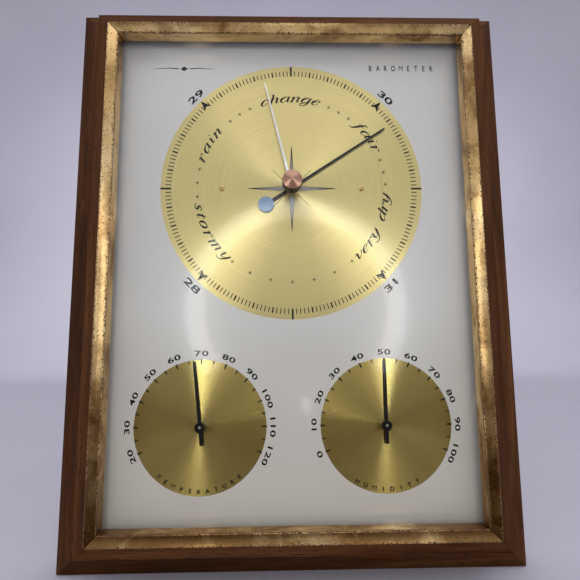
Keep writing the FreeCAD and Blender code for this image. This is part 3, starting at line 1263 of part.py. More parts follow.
def hand_arbor():
    """Arbor with its pinion and the collet of the hairspring."""
    _, hub, line = gear_line()
    teeth = int(size("pinion_teeth"))
    radius = size("gear_module") * teeth / 2
    points = []
    for index in range(teeth, 0, -1):
        turn = line + math.pi + index * 2 * math.pi / teeth
        points += tooth(hub, radius, turn, teeth, *PINION_TOOTH)
    shape = prism(points, size("pinion_back"), size("pinion_length"))
    shoulder = size("train_back") + size("train_gauge") + size("end_shake")
    front = size("indicator_back") + size("hub_above")
    collet = size("hairspring_back")
    pivot = size("train_back") - size("pivot_end")
    shape = shape.fuse(cylinder(size("pivot_radius"), pivot, shoulder + 1, hub))
    shape = shape.fuse(cylinder(size("arbor_radius"), shoulder, front, hub))
    shape = shape.fuse(cylinder(size("collet_radius"), collet - 0.1, collet + 0.9, hub)).removeSplitter()
    free_shape("hand_arbor", shape)


def spiral_strip(label, place, radii, turns, gauge, back, width, end_angle):
    """Flat strip wound in a spiral of half circles, its outer end at an angle on the front view."""
    halves = int(2 * turns)
    inner, outer = radii
    growth = (outer - inner - gauge) / halves
    edges = []
    ends = []
    for side in (0, 1):
        crossings = []
        for half in range(halves + 1):
            reach = inner + side * gauge + growth * half
            crossings.append(V(reach * (-1) ** (halves - half), 0, 0))
        for start, end in zip(crossings, crossings[1:]):
            middle = (start + end) / 2
            bulge = V(0, 0, (end - start).Length / 2 * math.copysign(1, start.x))
            edges.append(Part.Arc(start, middle + bulge, end).toShape())
        ends.append((crossings[0], crossings[-1]))
    edges += [Part.makeLine(inside, outside) for inside, outside in zip(*ends)]
    wire = Part.Wire(Part.sortEdges(edges)[0])
    solid = Part.Face(wire).extrude(V(0, -width, 0))
    solid.rotate(V(0, 0, 0), V(0, 1, 0), -end_angle)
    solid.translate(V(number(place[0]), -back, number(place[1])))
    free_shape(label, solid)


def hairspring():
    """Spiral spring that takes up the play of the teeth, and the stud for its outer end."""
    radii = (size("collet_radius") + size("coil_fit"), size("hairspring_outer"))
    spiral_strip("hairspring", BAROMETER, radii, size("hairspring_turns"), size("hairspring_gauge"),
                 size("hairspring_back"), size("hairspring_width"), size("hairspring_angle"))
    reach = "Dim.hairspring_outer + Dim.hairspring_stud + Dim.running_gap"
    spot = (f"({reach}) * cos(Dim.hairspring_angle * 1 deg)", f"({reach}) * sin(Dim.hairspring_angle * 1 deg)")
    back = "Dim.train_back + Dim.train_gauge"
    front = f"{back} + Dim.stud_height"
    stud = [("0", back), ("Dim.hairspring_stud", back), ("Dim.hairspring_stud", front), ("0", front)]
    turned("hairspring_stud", stud, from_dial(spot))


def indicator():
    """Black indicator hand with its blued counterweight."""
    back, above = "Dim.indicator_back", "Dim.hub_above"
    hand = hand_blade("indicator_hand", BAROMETER, "Dim.indicator_angle", back, "Dim.indicator_gauge",
                      "Dim.indicator_length", "Dim.weight_reach - 1",
                      ("Dim.indicator_tip", "Dim.indicator_root", "Dim.indicator_tail"))
    add_hub(hand, f"{back} - Dim.hub_below", f"{back} + {above}", "Dim.indicator_hub", "Dim.arbor_radius")
    weight = new_body("hand_counterweight", BAROMETER, "Dim.indicator_angle")
    disc = new_sketch(weight, height="Dim.weight_back")
    circle(disc, "0", "-Dim.weight_reach", "Dim.weight_radius")
    add_feature(weight, "Pad", disc, "Dim.weight_thickness")
    slot = new_sketch(weight, height=back)
    rectangle(slot, ("-Dim.weight_slot", "1 - Dim.weight_reach"),
              ("Dim.weight_slot", "Dim.weight_slot_end - Dim.weight_reach"))
    add_feature(weight, "Pocket", slot, "Dim.indicator_gauge", reverse=True)


# ---- thermometer and hygrometer --------------------------------------------------------------


def small_instrument(name, place, angle, turns, gauge):
    """Bracket, eyelet, coil, arbor and hand of one small dial."""
    bracket = new_body(f"{name}_bracket", place)
    sketch = new_sketch(bracket, "YZ_Plane")
    back, front, sheet_gauge = "Dim.bracket_back", "Dim.dial_back", "Dim.bracket_gauge"
    reach, toe = "Dim.bracket_reach", "-Dim.bracket_toe"
    outline(sketch, [
        (f"-({back})", toe),
        (f"-({back})", reach),
        (f"-({front})", reach),
        (f"-({front})", toe),
        (f"-({front} - {sheet_gauge})", toe),
        (f"-({front} - {sheet_gauge})", f"{reach} - {sheet_gauge}"),
        (f"-({back} + {sheet_gauge})", f"{reach} - {sheet_gauge}"),
        (f"-({back} + {sheet_gauge})", toe),
    ])
    add_feature(bracket, "Pad", sketch, "Dim.bracket_width", symmetric=True)
    cut_holes(bracket, [("0", "0", "Dim.small_arbor + Dim.running_gap")])
    cut_holes(bracket, [("0", "0", "Dim.bracket_hole")], "4", f"{front} - 2", symmetric=False)
    post = new_sketch(bracket, height=f"{back} + 0.5")
    circle(post, "0", "Dim.coil_outer + Dim.coil_post + Dim.running_gap", "Dim.coil_post")
    add_feature(bracket, "Pad", post, "Dim.coil_back + Dim.coil_width - Dim.bracket_back")
    bore = "Dim.small_arbor + Dim.running_gap"
    lip = "Dim.dial_front + Dim.eyelet_lip_rise"
    eyelet = [
        (bore, f"{front} - {sheet_gauge} - Dim.eyelet_flange_rise"),
        ("Dim.eyelet_flange", f"{front} - {sheet_gauge} - Dim.eyelet_flange_rise"),
        ("Dim.eyelet_flange", f"{front} - {sheet_gauge}"),
        ("Dim.eyelet_neck", f"{front} - {sheet_gauge}"),
        ("Dim.eyelet_neck", "Dim.dial_front"),
        ("Dim.eyelet_lip", "Dim.dial_front"),
        ("Dim.eyelet_lip", lip),
        (bore, lip),
    ]
    turned(f"{name}_eyelet", eyelet, place)
    coil_low = "Dim.coil_back - Dim.coil_room"
    coil_high = "Dim.coil_back + Dim.coil_width + Dim.coil_room"
    tip = "Dim.small_hand_back + Dim.hub_above"
    arbor = [
        ("0", f"{back} - Dim.eyelet_flange_rise"),
        ("Dim.small_arbor", f"{back} - Dim.eyelet_flange_rise"),
        ("Dim.small_arbor", coil_low),
        ("Dim.coil_hub", coil_low),
        ("Dim.coil_hub", coil_high),
        ("Dim.small_arbor", coil_high),
        ("Dim.small_arbor", f"{tip} + 0.1"),
        ("0", f"{tip} + 0.1 + Dim.small_arbor_point"),
    ]
    turned(f"{name}_arbor", arbor, place)
    radii = (size("coil_hub") + size("coil_fit"), size("coil_outer"))
    spiral_strip(f"{name}_coil", place, radii, turns, gauge, size("coil_back"), size("coil_width"), 90)
    hand_back = "Dim.small_hand_back"
    hand = hand_blade(f"{name}_hand", place, angle, hand_back, "Dim.small_hand_gauge", "Dim.small_hand",
                      "Dim.small_tail", ("Dim.small_tip", "Dim.small_root", "Dim.small_end"))
    add_hub(hand, f"{hand_back} - Dim.small_hub_below", tip, "Dim.small_hub", "Dim.small_arbor")


# ---- assembly --------------------------------------------------------------------------------


def build_case():
    """Frame, liner, glazing, dial plate, back cover and hanger."""
    frame()
    liner()
    corner_fasteners()
    glass_pane()
    glass_spacers()
    dial_plate()
    glazing_points()
    back_cover()
    wood_screws("back_cover_screws", COVER_SCREWS, "Dim.cover_screw_length")
    hanger_plate()
    wood_screws("hanger_screws", HANGER_SCREWS, "Dim.hanger_screw_length")


def build_movement():
    """Everything between the back cover and the barometer dial."""
    base_plate()
    movement_posts()
    train_pillars()
    machine_screws("base_plate_screws", POSTS + PILLARS, "Dim.base_screw", "Dim.base_screw_head",
                   "Dim.base_back", "Dim.base_screw_length", "Dim.base_screw_rise", towards_back=True)
    capsule()
    main_spring()
    movement_rivets()
    adjusting_screw()
    rocking_shaft()
    rocker_bracket()
    train_plates()
    machine_screws("train_screws", PILLARS, "Dim.train_screw", "Dim.train_screw_head",
                   "Dim.train_front + Dim.train_gauge", "Dim.train_screw_length", "Dim.train_screw_rise",
                   towards_back=False)
    sector_gear()
    hand_arbor()
    hairspring()
    indicator()


def write_parts():
    """Check every object and every piece, then write one STEP file for each piece."""
    for item in doc.Objects:
        if "Invalid" in item.State or "Error" in item.State:
            raise RuntimeError(f"{item.Label} failed: {item.State}")
    for piece in pieces:
        if piece.Shape.isNull() or not piece.Shape.isValid() or not piece.Shape.Solids:
            raise RuntimeError(f"{piece.Label} has no valid solid")
    os.makedirs("parts", exist_ok=True)
    for piece in pieces:
        piece.Shape.exportStep(os.path.join("parts", f"{piece.Label}.step"))
    print(len(pieces), "pieces")


fill_sheet()
add_derived_sizes()
build_case()
set_hand_group()
build_movement()
small_instrument("thermometer", THERMOMETER, "Dim.thermometer_angle", 5, 0.4)
small_instrument("hygrometer", HYGROMETER, "Dim.hygrometer_angle", 4, 0.3)
doc.recompute()
write_parts()
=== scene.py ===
import json
import math

import bmesh
import bpy
from mathutils import Matrix, Vector


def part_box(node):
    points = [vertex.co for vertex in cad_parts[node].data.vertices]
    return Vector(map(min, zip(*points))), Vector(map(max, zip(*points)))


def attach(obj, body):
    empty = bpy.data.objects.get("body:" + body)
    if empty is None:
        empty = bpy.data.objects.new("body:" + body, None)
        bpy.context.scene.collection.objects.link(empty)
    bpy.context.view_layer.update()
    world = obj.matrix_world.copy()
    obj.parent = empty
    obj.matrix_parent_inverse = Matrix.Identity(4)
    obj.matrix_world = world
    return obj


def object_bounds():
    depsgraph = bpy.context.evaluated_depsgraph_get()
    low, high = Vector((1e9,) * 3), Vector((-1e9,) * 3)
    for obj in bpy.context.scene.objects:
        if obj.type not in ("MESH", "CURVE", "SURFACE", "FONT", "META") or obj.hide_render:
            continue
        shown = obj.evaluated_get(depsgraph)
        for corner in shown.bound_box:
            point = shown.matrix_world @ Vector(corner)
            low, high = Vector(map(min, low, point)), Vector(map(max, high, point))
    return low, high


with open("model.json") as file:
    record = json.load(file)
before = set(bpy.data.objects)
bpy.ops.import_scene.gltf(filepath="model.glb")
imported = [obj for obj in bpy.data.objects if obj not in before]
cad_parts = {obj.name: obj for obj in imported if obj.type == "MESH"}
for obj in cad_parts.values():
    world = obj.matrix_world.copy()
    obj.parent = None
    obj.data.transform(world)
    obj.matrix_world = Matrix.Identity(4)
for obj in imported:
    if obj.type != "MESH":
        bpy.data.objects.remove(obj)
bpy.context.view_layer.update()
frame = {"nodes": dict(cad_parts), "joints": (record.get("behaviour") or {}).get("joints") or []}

MM = 0.001
PIVOT = {joint["name"]: Vector(joint["pos_m"]) for joint in frame["joints"] if "pos_m" in joint}
PLATE_LOW, PLATE_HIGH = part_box("dial_plate")
PLATE_FRONT = -PLATE_LOW.y / MM

# ---- materials -------------------------------------------------------------------------------


class Finish:
    """A procedural material: one Principled shader and the textures that drive it."""

    def __init__(self, name, color, metallic=0.0, roughness=0.5, **constants):
        self.material = bpy.data.materials.new(name)
        self.material.use_nodes = True
        self.tree = self.material.node_tree
        self.shader = self.tree.nodes["Principled BSDF"]
        self.set("Base Color", (*color, 1.0))
        self.set("Metallic", metallic)
        self.set("Roughness", roughness)
        for socket, value in constants.items():
            self.set(socket.replace("_", " "), value)
        self.coordinates = self.add("ShaderNodeTexCoord").outputs["Object"]

    def set(self, socket, value):
        self.shader.inputs[socket].default_value = value

    def add(self, kind, **settings):
        node = self.tree.nodes.new(kind)
        for name, value in settings.items():
            setattr(node, name, value)
        return node

    def link(self, source, target):
        self.tree.links.new(source, target)

    def feed(self, socket, source):
        self.link(source, self.shader.inputs[socket])

    def stretched(self, scale, turn=(0, 0, 0), source=None):
        """Object coordinates in cycles per metre along each axis."""
        mapping = self.add("ShaderNodeMapping")
        mapping.inputs["Scale"].default_value = scale
        mapping.inputs["Rotation"].default_value = [math.radians(a) for a in turn]
        self.link(source or self.coordinates, mapping.inputs["Vector"])
        return mapping.outputs["Vector"]

    def noise(self, vector, detail=3.0, roughness=0.55, distortion=0.0):
        node = self.add("ShaderNodeTexNoise")
        node.inputs["Scale"].default_value = 1.0
        node.inputs["Detail"].default_value = detail
        node.inputs["Roughness"].default_value = roughness
        node.inputs["Distortion"].default_value = distortion
        self.link(vector, node.inputs["Vector"])
        return node.outputs["Fac"]

    def ramp(self, source, stops):
        """Colour ramp through (position, value or colour) stops."""
        node = self.add("ShaderNodeValToRGB")
        elements = node.color_ramp.elements
        while len(elements) < len(stops):
            elements.new(0.5)
        for element, (position, value) in zip(elements, stops):
            color = value if isinstance(value, tuple) else (value, value, value)
            element.position = position
            element.color = (*color, 1.0)
        self.link(source, node.inputs["Fac"])
        return node.outputs["Color"]

    def mix(self, factor, first, second, blend="MIX"):
        """Mix of two colours; either may be a socket or a colour, the factor a socket or a number."""
        node = self.add("ShaderNodeMix", data_type="RGBA", blend_type=blend)
        for socket, value in ((node.inputs[0], factor), (node.inputs[6], first), (node.inputs[7], second)):
            if isinstance(value, tuple):
                socket.default_value = (*value, 1.0)
            elif isinstance(value, (int, float)):
                socket.default_value = value
            else:
                self.link(value, socket)
        return node.outputs[2]

    def math(self, operation, *values):
        node = self.add("ShaderNodeMath", operation=operation)
        for socket, value in zip(node.inputs, values):
            if isinstance(value, (int, float)):
                socket.default_value = value
            else:
                self.link(value, socket)
        return node.outputs[0]

    def axes(self):
        node = self.add("ShaderNodeSeparateXYZ")
        self.link(self.coordinates, node.inputs[0])
        return node.outputs

    def turned_about_y(self):
        """Brushing that runs in circles about the object's own Y axis."""
        self.feed("Tangent", self.add("ShaderNodeTangent", direction_type="RADIAL", axis="Y").outputs[0])

    def distance(self, x, z):
        squares = self.math("ADD", self.math("MULTIPLY", x, x), self.math("MULTIPLY", z, z))
        return self.math("SQRT", squares)

    def vector(self, *parts):
        node = self.add("ShaderNodeCombineXYZ")
        for socket, part in zip(node.inputs, parts):
            self.link(part, socket)
        return node.outputs[0]

    def bump(self, height, distance, strength=1.0, previous=None):
        node = self.add("ShaderNodeBump")
        node.inputs["Strength"].default_value = strength
        node.inputs["Distance"].default_value = distance
        self.link(height, node.inputs["Height"])
        if previous:
            self.link(previous, node.inputs["Normal"])
        self.feed("Normal", node.outputs["Normal"])
        return node.outputs["Normal"]


def walnut(name, lengthwise):
    """Dark reddish walnut under satin varnish, its grain along one axis."""
    finish = Finish(name, (0.06, 0.02, 0.01), Specular_IOR_Level=0.05)

    def grain(along, across):
        return tuple(along if axis == lengthwise else across for axis in "XYZ")

    figure = finish.noise(finish.stretched(grain(9, 110)), 5, 0.62, 0.7)
    bands = finish.noise(finish.stretched(grain(3, 34)), 3, 0.5, 0.4)
    fibre = finish.noise(finish.stretched(grain(70, 1700)), 4, 0.6)
    pores = finish.noise(finish.stretched(grain(150, 3400)), 2, 0.5)
    color = finish.ramp(figure, [
        (0.30, (0.038, 0.0140, 0.0050)),
        (0.45, (0.056, 0.0210, 0.0078)),
        (0.57, (0.078, 0.0300, 0.0110)),
        (0.72, (0.125, 0.0500, 0.0180)),
    ])
    streaks = finish.ramp(bands, [(0.35, (0.85, 0.8, 0.78)), (0.65, (1.45, 1.4, 1.3))])
    color = finish.mix(0.8, color, streaks, "MULTIPLY")
    color = finish.mix(0.5, color, finish.ramp(fibre, [(0.3, 0.45), (0.7, 1.35)]), "MULTIPLY")
    pore_mask = finish.ramp(pores, [(0.30, 1.0), (0.40, 0.0)])
    color = finish.mix(pore_mask, color, (0.010, 0.0035, 0.0018))
    finish.feed("Base Color", color)
    finish.feed("Roughness", finish.ramp(fibre, [(0.3, 0.5), (0.7, 0.7)]))
    first = finish.bump(finish.math("SUBTRACT", fibre, finish.math("MULTIPLY", pore_mask, 0.8)), 0.00006, 0.6)
    finish.bump(figure, 0.0003, 0.15, first)
    return finish.material


def worn_brass(name, lengthwise):
    """Rolled brass: a pitted crown, edges where the lacquer has gone, a smooth inner wall, a ragged dark line of
    painted shade under the lip, and tarnish made stronger towards the bottom strip as painted shade.
    """
    finish = Finish(name, (0.62, 0.42, 0.19), 1.0, 0.22, Anisotropic=0.3)

    def drawn(along, across):
        return tuple(along if axis == lengthwise else across for axis in "XYZ")

    lines = finish.noise(finish.stretched(drawn(9, 2600)), 2, 0.5)
    clouds = finish.noise(finish.stretched((26, 60, 26)), 4, 0.6, 0.3)
    speckle = finish.noise(finish.stretched((1500, 1500, 1500)), 3, 0.6)
    flecks = finish.noise(finish.stretched((2300, 2300, 2300)), 2, 0.5)
    ragged = finish.noise(finish.stretched(drawn(900, 60)), 3, 0.65)
    x, y, z = finish.axes()
    right_low, right_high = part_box("liner_right")
    top_low, top_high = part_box("liner_top")
    half_width = (right_high.x + right_low.x) / 2
    half_height = (top_high.z + top_low.z) / 2
    half_strip = (top_high.z - top_low.z) / 2
    crest = -top_low.y
    off_x = finish.math("SUBTRACT", finish.math("ABSOLUTE", x), half_width)
    off_z = finish.math("SUBTRACT", finish.math("ABSOLUTE", z), half_height)
    edge = finish.math("DIVIDE", finish.math("ABSOLUTE", finish.math("MAXIMUM", off_x, off_z)), half_strip)
    depth = finish.math("ADD", y, crest)
    crown = finish.ramp(finish.math("MULTIPLY", depth, 400), [(0.60, 1.0), (0.66, 0.0)])
    worn = finish.math("MULTIPLY", finish.ramp(edge, [(0.5, 0.0), (0.95, 1.0)]), 0.16)
    level = finish.math("ADD", finish.math("ADD", speckle, worn), finish.math("MULTIPLY", clouds, 0.14))
    pits = finish.math("MULTIPLY", finish.ramp(level, [(0.69, 0.0), (0.72, 1.0)]), crown)
    specks = finish.ramp(finish.math("ADD", flecks, finish.math("MULTIPLY", clouds, 0.2)), [(0.79, 0.0), (0.81, 1.0)])
    # Painted shade: a ragged dark band at the lip edge, where the crown turns into the inner wall, stands in for the
    # shade under the lip. It is made dull and barely metallic together with the real wear spots.
    rim_height = finish.math("ADD", finish.math("MULTIPLY", depth, 400), finish.math("MULTIPLY", ragged, -0.35))
    lip_shade = finish.ramp(rim_height, [(0.44, 0.0), (0.46, 1.0), (0.56, 1.0), (0.62, 0.0)])
    wear_and_lip_shade = finish.math("MAXIMUM", finish.math("MAXIMUM", pits, specks), lip_shade)
    gold = finish.mix(0.5, finish.ramp(clouds, [
        (0.3, (0.60, 0.37, 0.15)),
        (0.5, (0.76, 0.51, 0.23)),
        (0.7, (0.88, 0.66, 0.36)),
    ]), finish.ramp(lines, [(0.25, 0.75), (0.75, 1.15)]), "MULTIPLY")
    stains_and_low_shade = finish.noise(finish.stretched((48, 110, 48)), 4, 0.65, 0.4)
    height = finish.math("MULTIPLY_ADD", z, 0.5 / half_height, 0.5)
    # Painted shade: the tarnish is made stronger towards the bottom strip, standing in for the darker surroundings it
    # reflects. The noise itself is real staining.
    stains_and_low_shade = finish.math("SUBTRACT", stains_and_low_shade, finish.ramp(height, [(0.0, 0.16), (0.4, 0.0)]))
    tarnish_and_low_shade = finish.ramp(stains_and_low_shade, [(0.34, (0.40, 0.32, 0.25)), (0.54, (1.0, 1.0, 1.0))])
    gold = finish.mix(1.0, gold, tarnish_and_low_shade, "MULTIPLY")
    finish.feed("Base Color", finish.mix(wear_and_lip_shade, gold, (0.060, 0.024, 0.010)))
    finish.feed("Metallic", finish.math("SUBTRACT", 1.0, finish.math("MULTIPLY", wear_and_lip_shade, 0.8)))
    dull = finish.mix(crown, (0.09, 0.09, 0.09), finish.ramp(clouds, [(0.3, 0.2), (0.7, 0.36)]))
    finish.feed("Roughness", finish.mix(wear_and_lip_shade, dull, (0.62, 0.62, 0.62)))
    relief = finish.math("SUBTRACT", finish.math("MULTIPLY", lines, 0.08), wear_and_lip_shade)
    finish.bump(relief, 0.00005, 0.5)
    return finish.material


def plate_lacquer(name):
    """Silver lacquer of the dial plate, with a very fine sprayed texture and painted light that makes it lighter and
    warmer towards the bottom.
    """
    finish = Finish(name, (0.56, 0.57, 0.55), 0.1, 0.34, Coat_Weight=0.2, Coat_Roughness=0.2)
    flake = finish.noise(finish.stretched((5200, 5200, 5200)), 2, 0.5)
    cloud = finish.noise(finish.stretched((14, 14, 14)), 3, 0.5)
    # Painted light: the lower part of the plate is made lighter and warmer, standing in for light thrown back onto it
    # from the bottom brass liner.
    height = finish.math("MULTIPLY_ADD", finish.axes()[2], 1 / (PLATE_HIGH.z - PLATE_LOW.z), 0.5)
    color = finish.ramp(height, [(0.1, (0.64, 0.615, 0.56)), (0.55, (0.57, 0.565, 0.555))])
    color = finish.mix(0.5, color, finish.ramp(cloud, [(0.3, 0.94), (0.7, 1.04)]), "MULTIPLY")
    finish.feed("Base Color", finish.mix(0.25, color, finish.ramp(flake, [(0.3, 0.8), (0.7, 1.2)]), "MULTIPLY"))
    finish.feed("Roughness", finish.ramp(flake, [(0.2, 0.26), (0.8, 0.36)]))
    finish.bump(flake, 0.000004, 0.4)
    return finish.material


def spun_gold(name, color, roughness, spread, metallic):
    """Gold dial turned on a lathe: concentric hairlines and fans of light."""
    finish = Finish(name, color, metallic, roughness, Anisotropic=spread, Anisotropic_Rotation=0.25)
    finish.turned_about_y()
    x, _, z = finish.axes()
    radius = finish.distance(x, z)
    hairline_place = finish.vector(finish.math("MULTIPLY", radius, 5200), finish.math("ARCTAN2", x, z))
    hairlines = finish.noise(hairline_place, 3, 0.7)
    rings = finish.noise(finish.vector(finish.math("MULTIPLY", radius, 420)), 2, 0.5)
    shade = finish.mix(0.5, finish.ramp(hairlines, [(0.25, 0.72), (0.75, 1.18)]),
                       finish.ramp(rings, [(0.3, 0.93), (0.7, 1.04)]), "MULTIPLY")
    finish.feed("Base Color", finish.mix(0.6, color, shade, "MULTIPLY"))
    finish.bump(hairlines, 0.0000012, 0.4)
    return finish.material


def brushed(name, color, roughness, stretch, metallic=1.0, contrast=0.25):
    """Brushed or turned metal with a fine directional grain."""
    finish = Finish(name, color, metallic, roughness, Anisotropic=0.3)
    grain = finish.noise(finish.stretched(stretch), 3, 0.6)
    cloud = finish.noise(finish.stretched((90, 90, 90)), 3, 0.5)
    low, high = 1.0 - contrast, 1.0 + contrast * 0.6
    tone = finish.mix(0.5, finish.ramp(grain, [(0.3, low), (0.7, high)]),
                      finish.ramp(cloud, [(0.3, 0.9), (0.7, 1.05)]), "MULTIPLY")
    finish.feed("Base Color", finish.mix(0.8, color, tone, "MULTIPLY"))
    finish.feed("Roughness", finish.ramp(grain, [(0.25, roughness * 0.8), (0.75, min(1.0, roughness * 1.3))]))
    finish.bump(grain, 0.000006, 0.5)
    return finish.material


def enamel(name, color, roughness, speck=0.2, gloss=0.5, coat=0.15):
    """Paint or moulded plastic with a slight orange peel."""
    finish = Finish(name, color, 0.0, roughness, Coat_Weight=coat, Coat_Roughness=0.2, Specular_IOR_Level=gloss)
    peel = finish.noise(finish.stretched((1400, 1400, 1400)), 2, 0.5)
    finish.feed("Base Color", finish.mix(speck, color, finish.ramp(peel, [(0.3, 0.5), (0.7, 1.6)]), "MULTIPLY"))
    finish.feed("Roughness", finish.ramp(peel, [(0.3, roughness * 0.85), (0.7, min(1.0, roughness * 1.15))]))
    finish.bump(peel, 0.000008, 0.5)
    return finish.material


def hardboard(name):
    """Brown pressed-fibre board, smooth on the outside."""
    finish = Finish(name, (0.13, 0.062, 0.03), 0.0, 0.6)
    fibre = finish.noise(finish.stretched((420, 420, 420)), 5, 0.7, 1.2)
    cloud = finish.noise(finish.stretched((22, 22, 22)), 4, 0.6)
    color = finish.ramp(fibre, [
        (0.3, (0.085, 0.038, 0.018)),
        (0.55, (0.15, 0.075, 0.036)),
        (0.75, (0.23, 0.125, 0.065)),
    ])
    finish.feed("Base Color", finish.mix(0.6, color, finish.ramp(cloud, [(0.3, 0.75), (0.7, 1.15)]), "MULTIPLY"))
    finish.feed("Roughness", finish.ramp(fibre, [(0.3, 0.5), (0.7, 0.72)]))
    finish.bump(fibre, 0.00004, 0.5)
    return finish.material


def copper_cap(name):
    """Copper-coloured cap with the rings of the lathe."""
    finish = Finish(name, (0.5, 0.27, 0.19), 1.0, 0.3, Anisotropic=0.95, Anisotropic_Rotation=0.25)
    finish.turned_about_y()
    x, _, z = finish.axes()
    center = PIVOT["set_hand_turn"]
    radius = finish.distance(finish.math("SUBTRACT", x, center.x), finish.math("SUBTRACT", z, center.z))
    rings = finish.noise(finish.vector(finish.math("MULTIPLY", radius, 9000)), 3, 0.6)
    finish.feed("Base Color", finish.ramp(rings, [(0.3, (0.34, 0.18, 0.125)), (0.7, (0.52, 0.32, 0.24))]))
    finish.feed("Roughness", finish.ramp(rings, [(0.3, 0.25), (0.7, 0.34)]))
    finish.bump(rings, 0.000004, 0.6)
    return finish.material


def clear_glass(name):
    """Flat window glass: see-through, with one soft reflection from the outside and slight smears."""
    material = bpy.data.materials.new(name)
    material.use_nodes = True
    tree = material.node_tree
    tree.nodes.clear()
    add = tree.nodes.new
    output, through, gloss, mix = (add(kind) for kind in (
        "ShaderNodeOutputMaterial", "ShaderNodeBsdfTransparent", "ShaderNodeBsdfGlossy", "ShaderNodeMixShader"))
    fresnel, geometry, front, outside, coordinates, smears, ramp = (add(kind) for kind in (
        "ShaderNodeFresnel", "ShaderNodeNewGeometry", "ShaderNodeMath", "ShaderNodeMath",
        "ShaderNodeTexCoord", "ShaderNodeTexNoise", "ShaderNodeValToRGB"))
    through.inputs["Color"].default_value = (0.99, 0.992, 0.988, 1.0)
    fresnel.inputs["IOR"].default_value = 1.5
    front.operation = "SUBTRACT"
    front.inputs[0].default_value = 1.0
    outside.operation = "MULTIPLY"
    smears.inputs["Scale"].default_value = 30.0
    smears.inputs["Detail"].default_value = 5.0
    ramp.color_ramp.elements[0].color = (0.08, 0.08, 0.08, 1.0)
    ramp.color_ramp.elements[1].color = (0.13, 0.13, 0.13, 1.0)
    tree.links.new(geometry.outputs["Backfacing"], front.inputs[1])
    tree.links.new(fresnel.outputs[0], outside.inputs[0])
    tree.links.new(front.outputs[0], outside.inputs[1])
    tree.links.new(coordinates.outputs["Object"], smears.inputs["Vector"])
    tree.links.new(smears.outputs["Fac"], ramp.inputs["Fac"])
    tree.links.new(ramp.outputs["Color"], gloss.inputs["Roughness"])
    tree.links.new(outside.outputs[0], mix.inputs[0])
    tree.links.new(through.outputs[0], mix.inputs[1])
    tree.links.new(gloss.outputs[0], mix.inputs[2])
    tree.links.new(mix.outputs[0], output.inputs["Surface"])
    return material


def paint(material, *nodes):
    """Put a material on CAD nodes."""
    for node in nodes:
        for slot in frame["nodes"][node].material_slots:
            slot.material = material


def finish_nodes():
    """Every CAD node gets its material."""
    paint(walnut("walnut_level", "X"), "frame_top_rail", "frame_bottom_rail")
    paint(walnut("walnut_upright", "Z"), "frame_left_stile", "frame_right_stile")
    paint(worn_brass("brass_level", "X"), "liner_top", "liner_bottom")
    paint(worn_brass("brass_upright", "Z"), "liner_left", "liner_right")
    paint(clear_glass("window_glass"), "glass_pane")
    paint(plate_lacquer("silver_lacquer"), "dial_plate")
    paint(enamel("grey_card", (0.03, 0.028, 0.025), 0.8), "glass_spacers")
    paint(hardboard("hardboard"), "back_cover")
    steel = brushed("bright_steel", (0.60, 0.60, 0.60), 0.3, (500, 2500, 500))
    paint(steel, "corner_fasteners", "glazing_points", "back_cover_screws", "hanger_screws")
    paint(brushed("zinc_plate", (0.62, 0.63, 0.64), 0.38, (160, 1500, 1500)), "hanger_plate")
    paint(enamel("knob_black", (0.012, 0.012, 0.013), 0.32), "knob_body")
    paint(copper_cap("knob_copper"), "knob_cap")
    paint(brushed("nickel", (0.93, 0.93, 0.91), 0.34, (1200, 1200, 160), contrast=0.12),
          "set_arbor", "set_hand", "set_hand_washer")
    paint(enamel("hand_black", (0.004, 0.004, 0.005), 0.35, gloss=0.3, coat=0.0),
          "indicator_hand", "thermometer_hand", "hygrometer_hand")
    paint(brushed("blued_steel", (0.17, 0.24, 0.35), 0.34, (500, 1500, 2200)), "hand_counterweight")
    brass = brushed("movement_brass", (0.66, 0.48, 0.22), 0.3, (1800, 1800, 140))
    paint(brass, "train_plate_back", "train_plate_front", "train_pillars", "sector_gear", "capsule_stud",
          "capsule_nut", "thermometer_eyelet", "hygrometer_eyelet", "glass_bushing")
    paint(brushed("gilt_rivets", (0.55, 0.38, 0.14), 0.26, (900, 900, 900), contrast=0.12), "movement_posts")
    paint(steel, "base_plate", "base_plate_screws", "train_screws", "movement_rivets", "adjusting_screw",
          "rocker_shaft", "rocker_lift_arm", "rocker_push_arm", "rocker_bracket", "spring_foot_block",
          "sector_arbor", "hand_arbor", "hairspring_stud", "thermometer_arbor", "hygrometer_arbor",
          "thermometer_bracket", "hygrometer_bracket")
    paint(brushed("spring_steel", (0.22, 0.24, 0.28), 0.34, (1800, 1800, 120)), "main_spring")
    paint(brushed("nickel_silver", (0.66, 0.63, 0.56), 0.32, (1500, 1500, 1500)), "capsule_back", "capsule_front")
    paint(brushed("spring_bronze", (0.58, 0.38, 0.19), 0.3, (1500, 1500, 1500)), "hairspring")
    paint(brushed("bimetal", (0.55, 0.44, 0.3), 0.35, (900, 120, 900)), "thermometer_coil")
    paint(brushed("humidity_strip", (0.62, 0.52, 0.35), 0.45, (900, 120, 900)), "hygrometer_coil")


# ---- printed ink -----------------------------------------------------------------------------

# Heights above the dial plate, in millimetres.
INK_FOOT = 0.002
INK_TOP = 0.045
GOLD_FOOT = 0.001
GOLD_TOP = 0.03
CURVE_STEPS = 7


def clock(center, radius, degrees):
    """Point (x, z) in millimetres at an angle clockwise from the top of a dial."""
    angle = math.radians(degrees)
    return center[0] + radius * math.sin(angle), center[1] + radius * math.cos(angle)


def on_line(x, z):
    """Placement of letters on a level line through (x, z)."""
    return lambda u, v: (x + u, z + v)


def on_arc(center, radius, degrees, inward):
    """Placement of one letter on a circle; inward letters have their tops towards the centre."""
    angle = math.radians(degrees)
    out = (math.sin(angle), math.cos(angle))
    along = (out[1], -out[0])
    x, z = clock(center, radius, degrees)
    sign = -1 if inward else 1

    def place(u, v):
        return x + sign * (along[0] * u + out[0] * v), z + sign * (along[1] * u + out[1] * v)

    return place


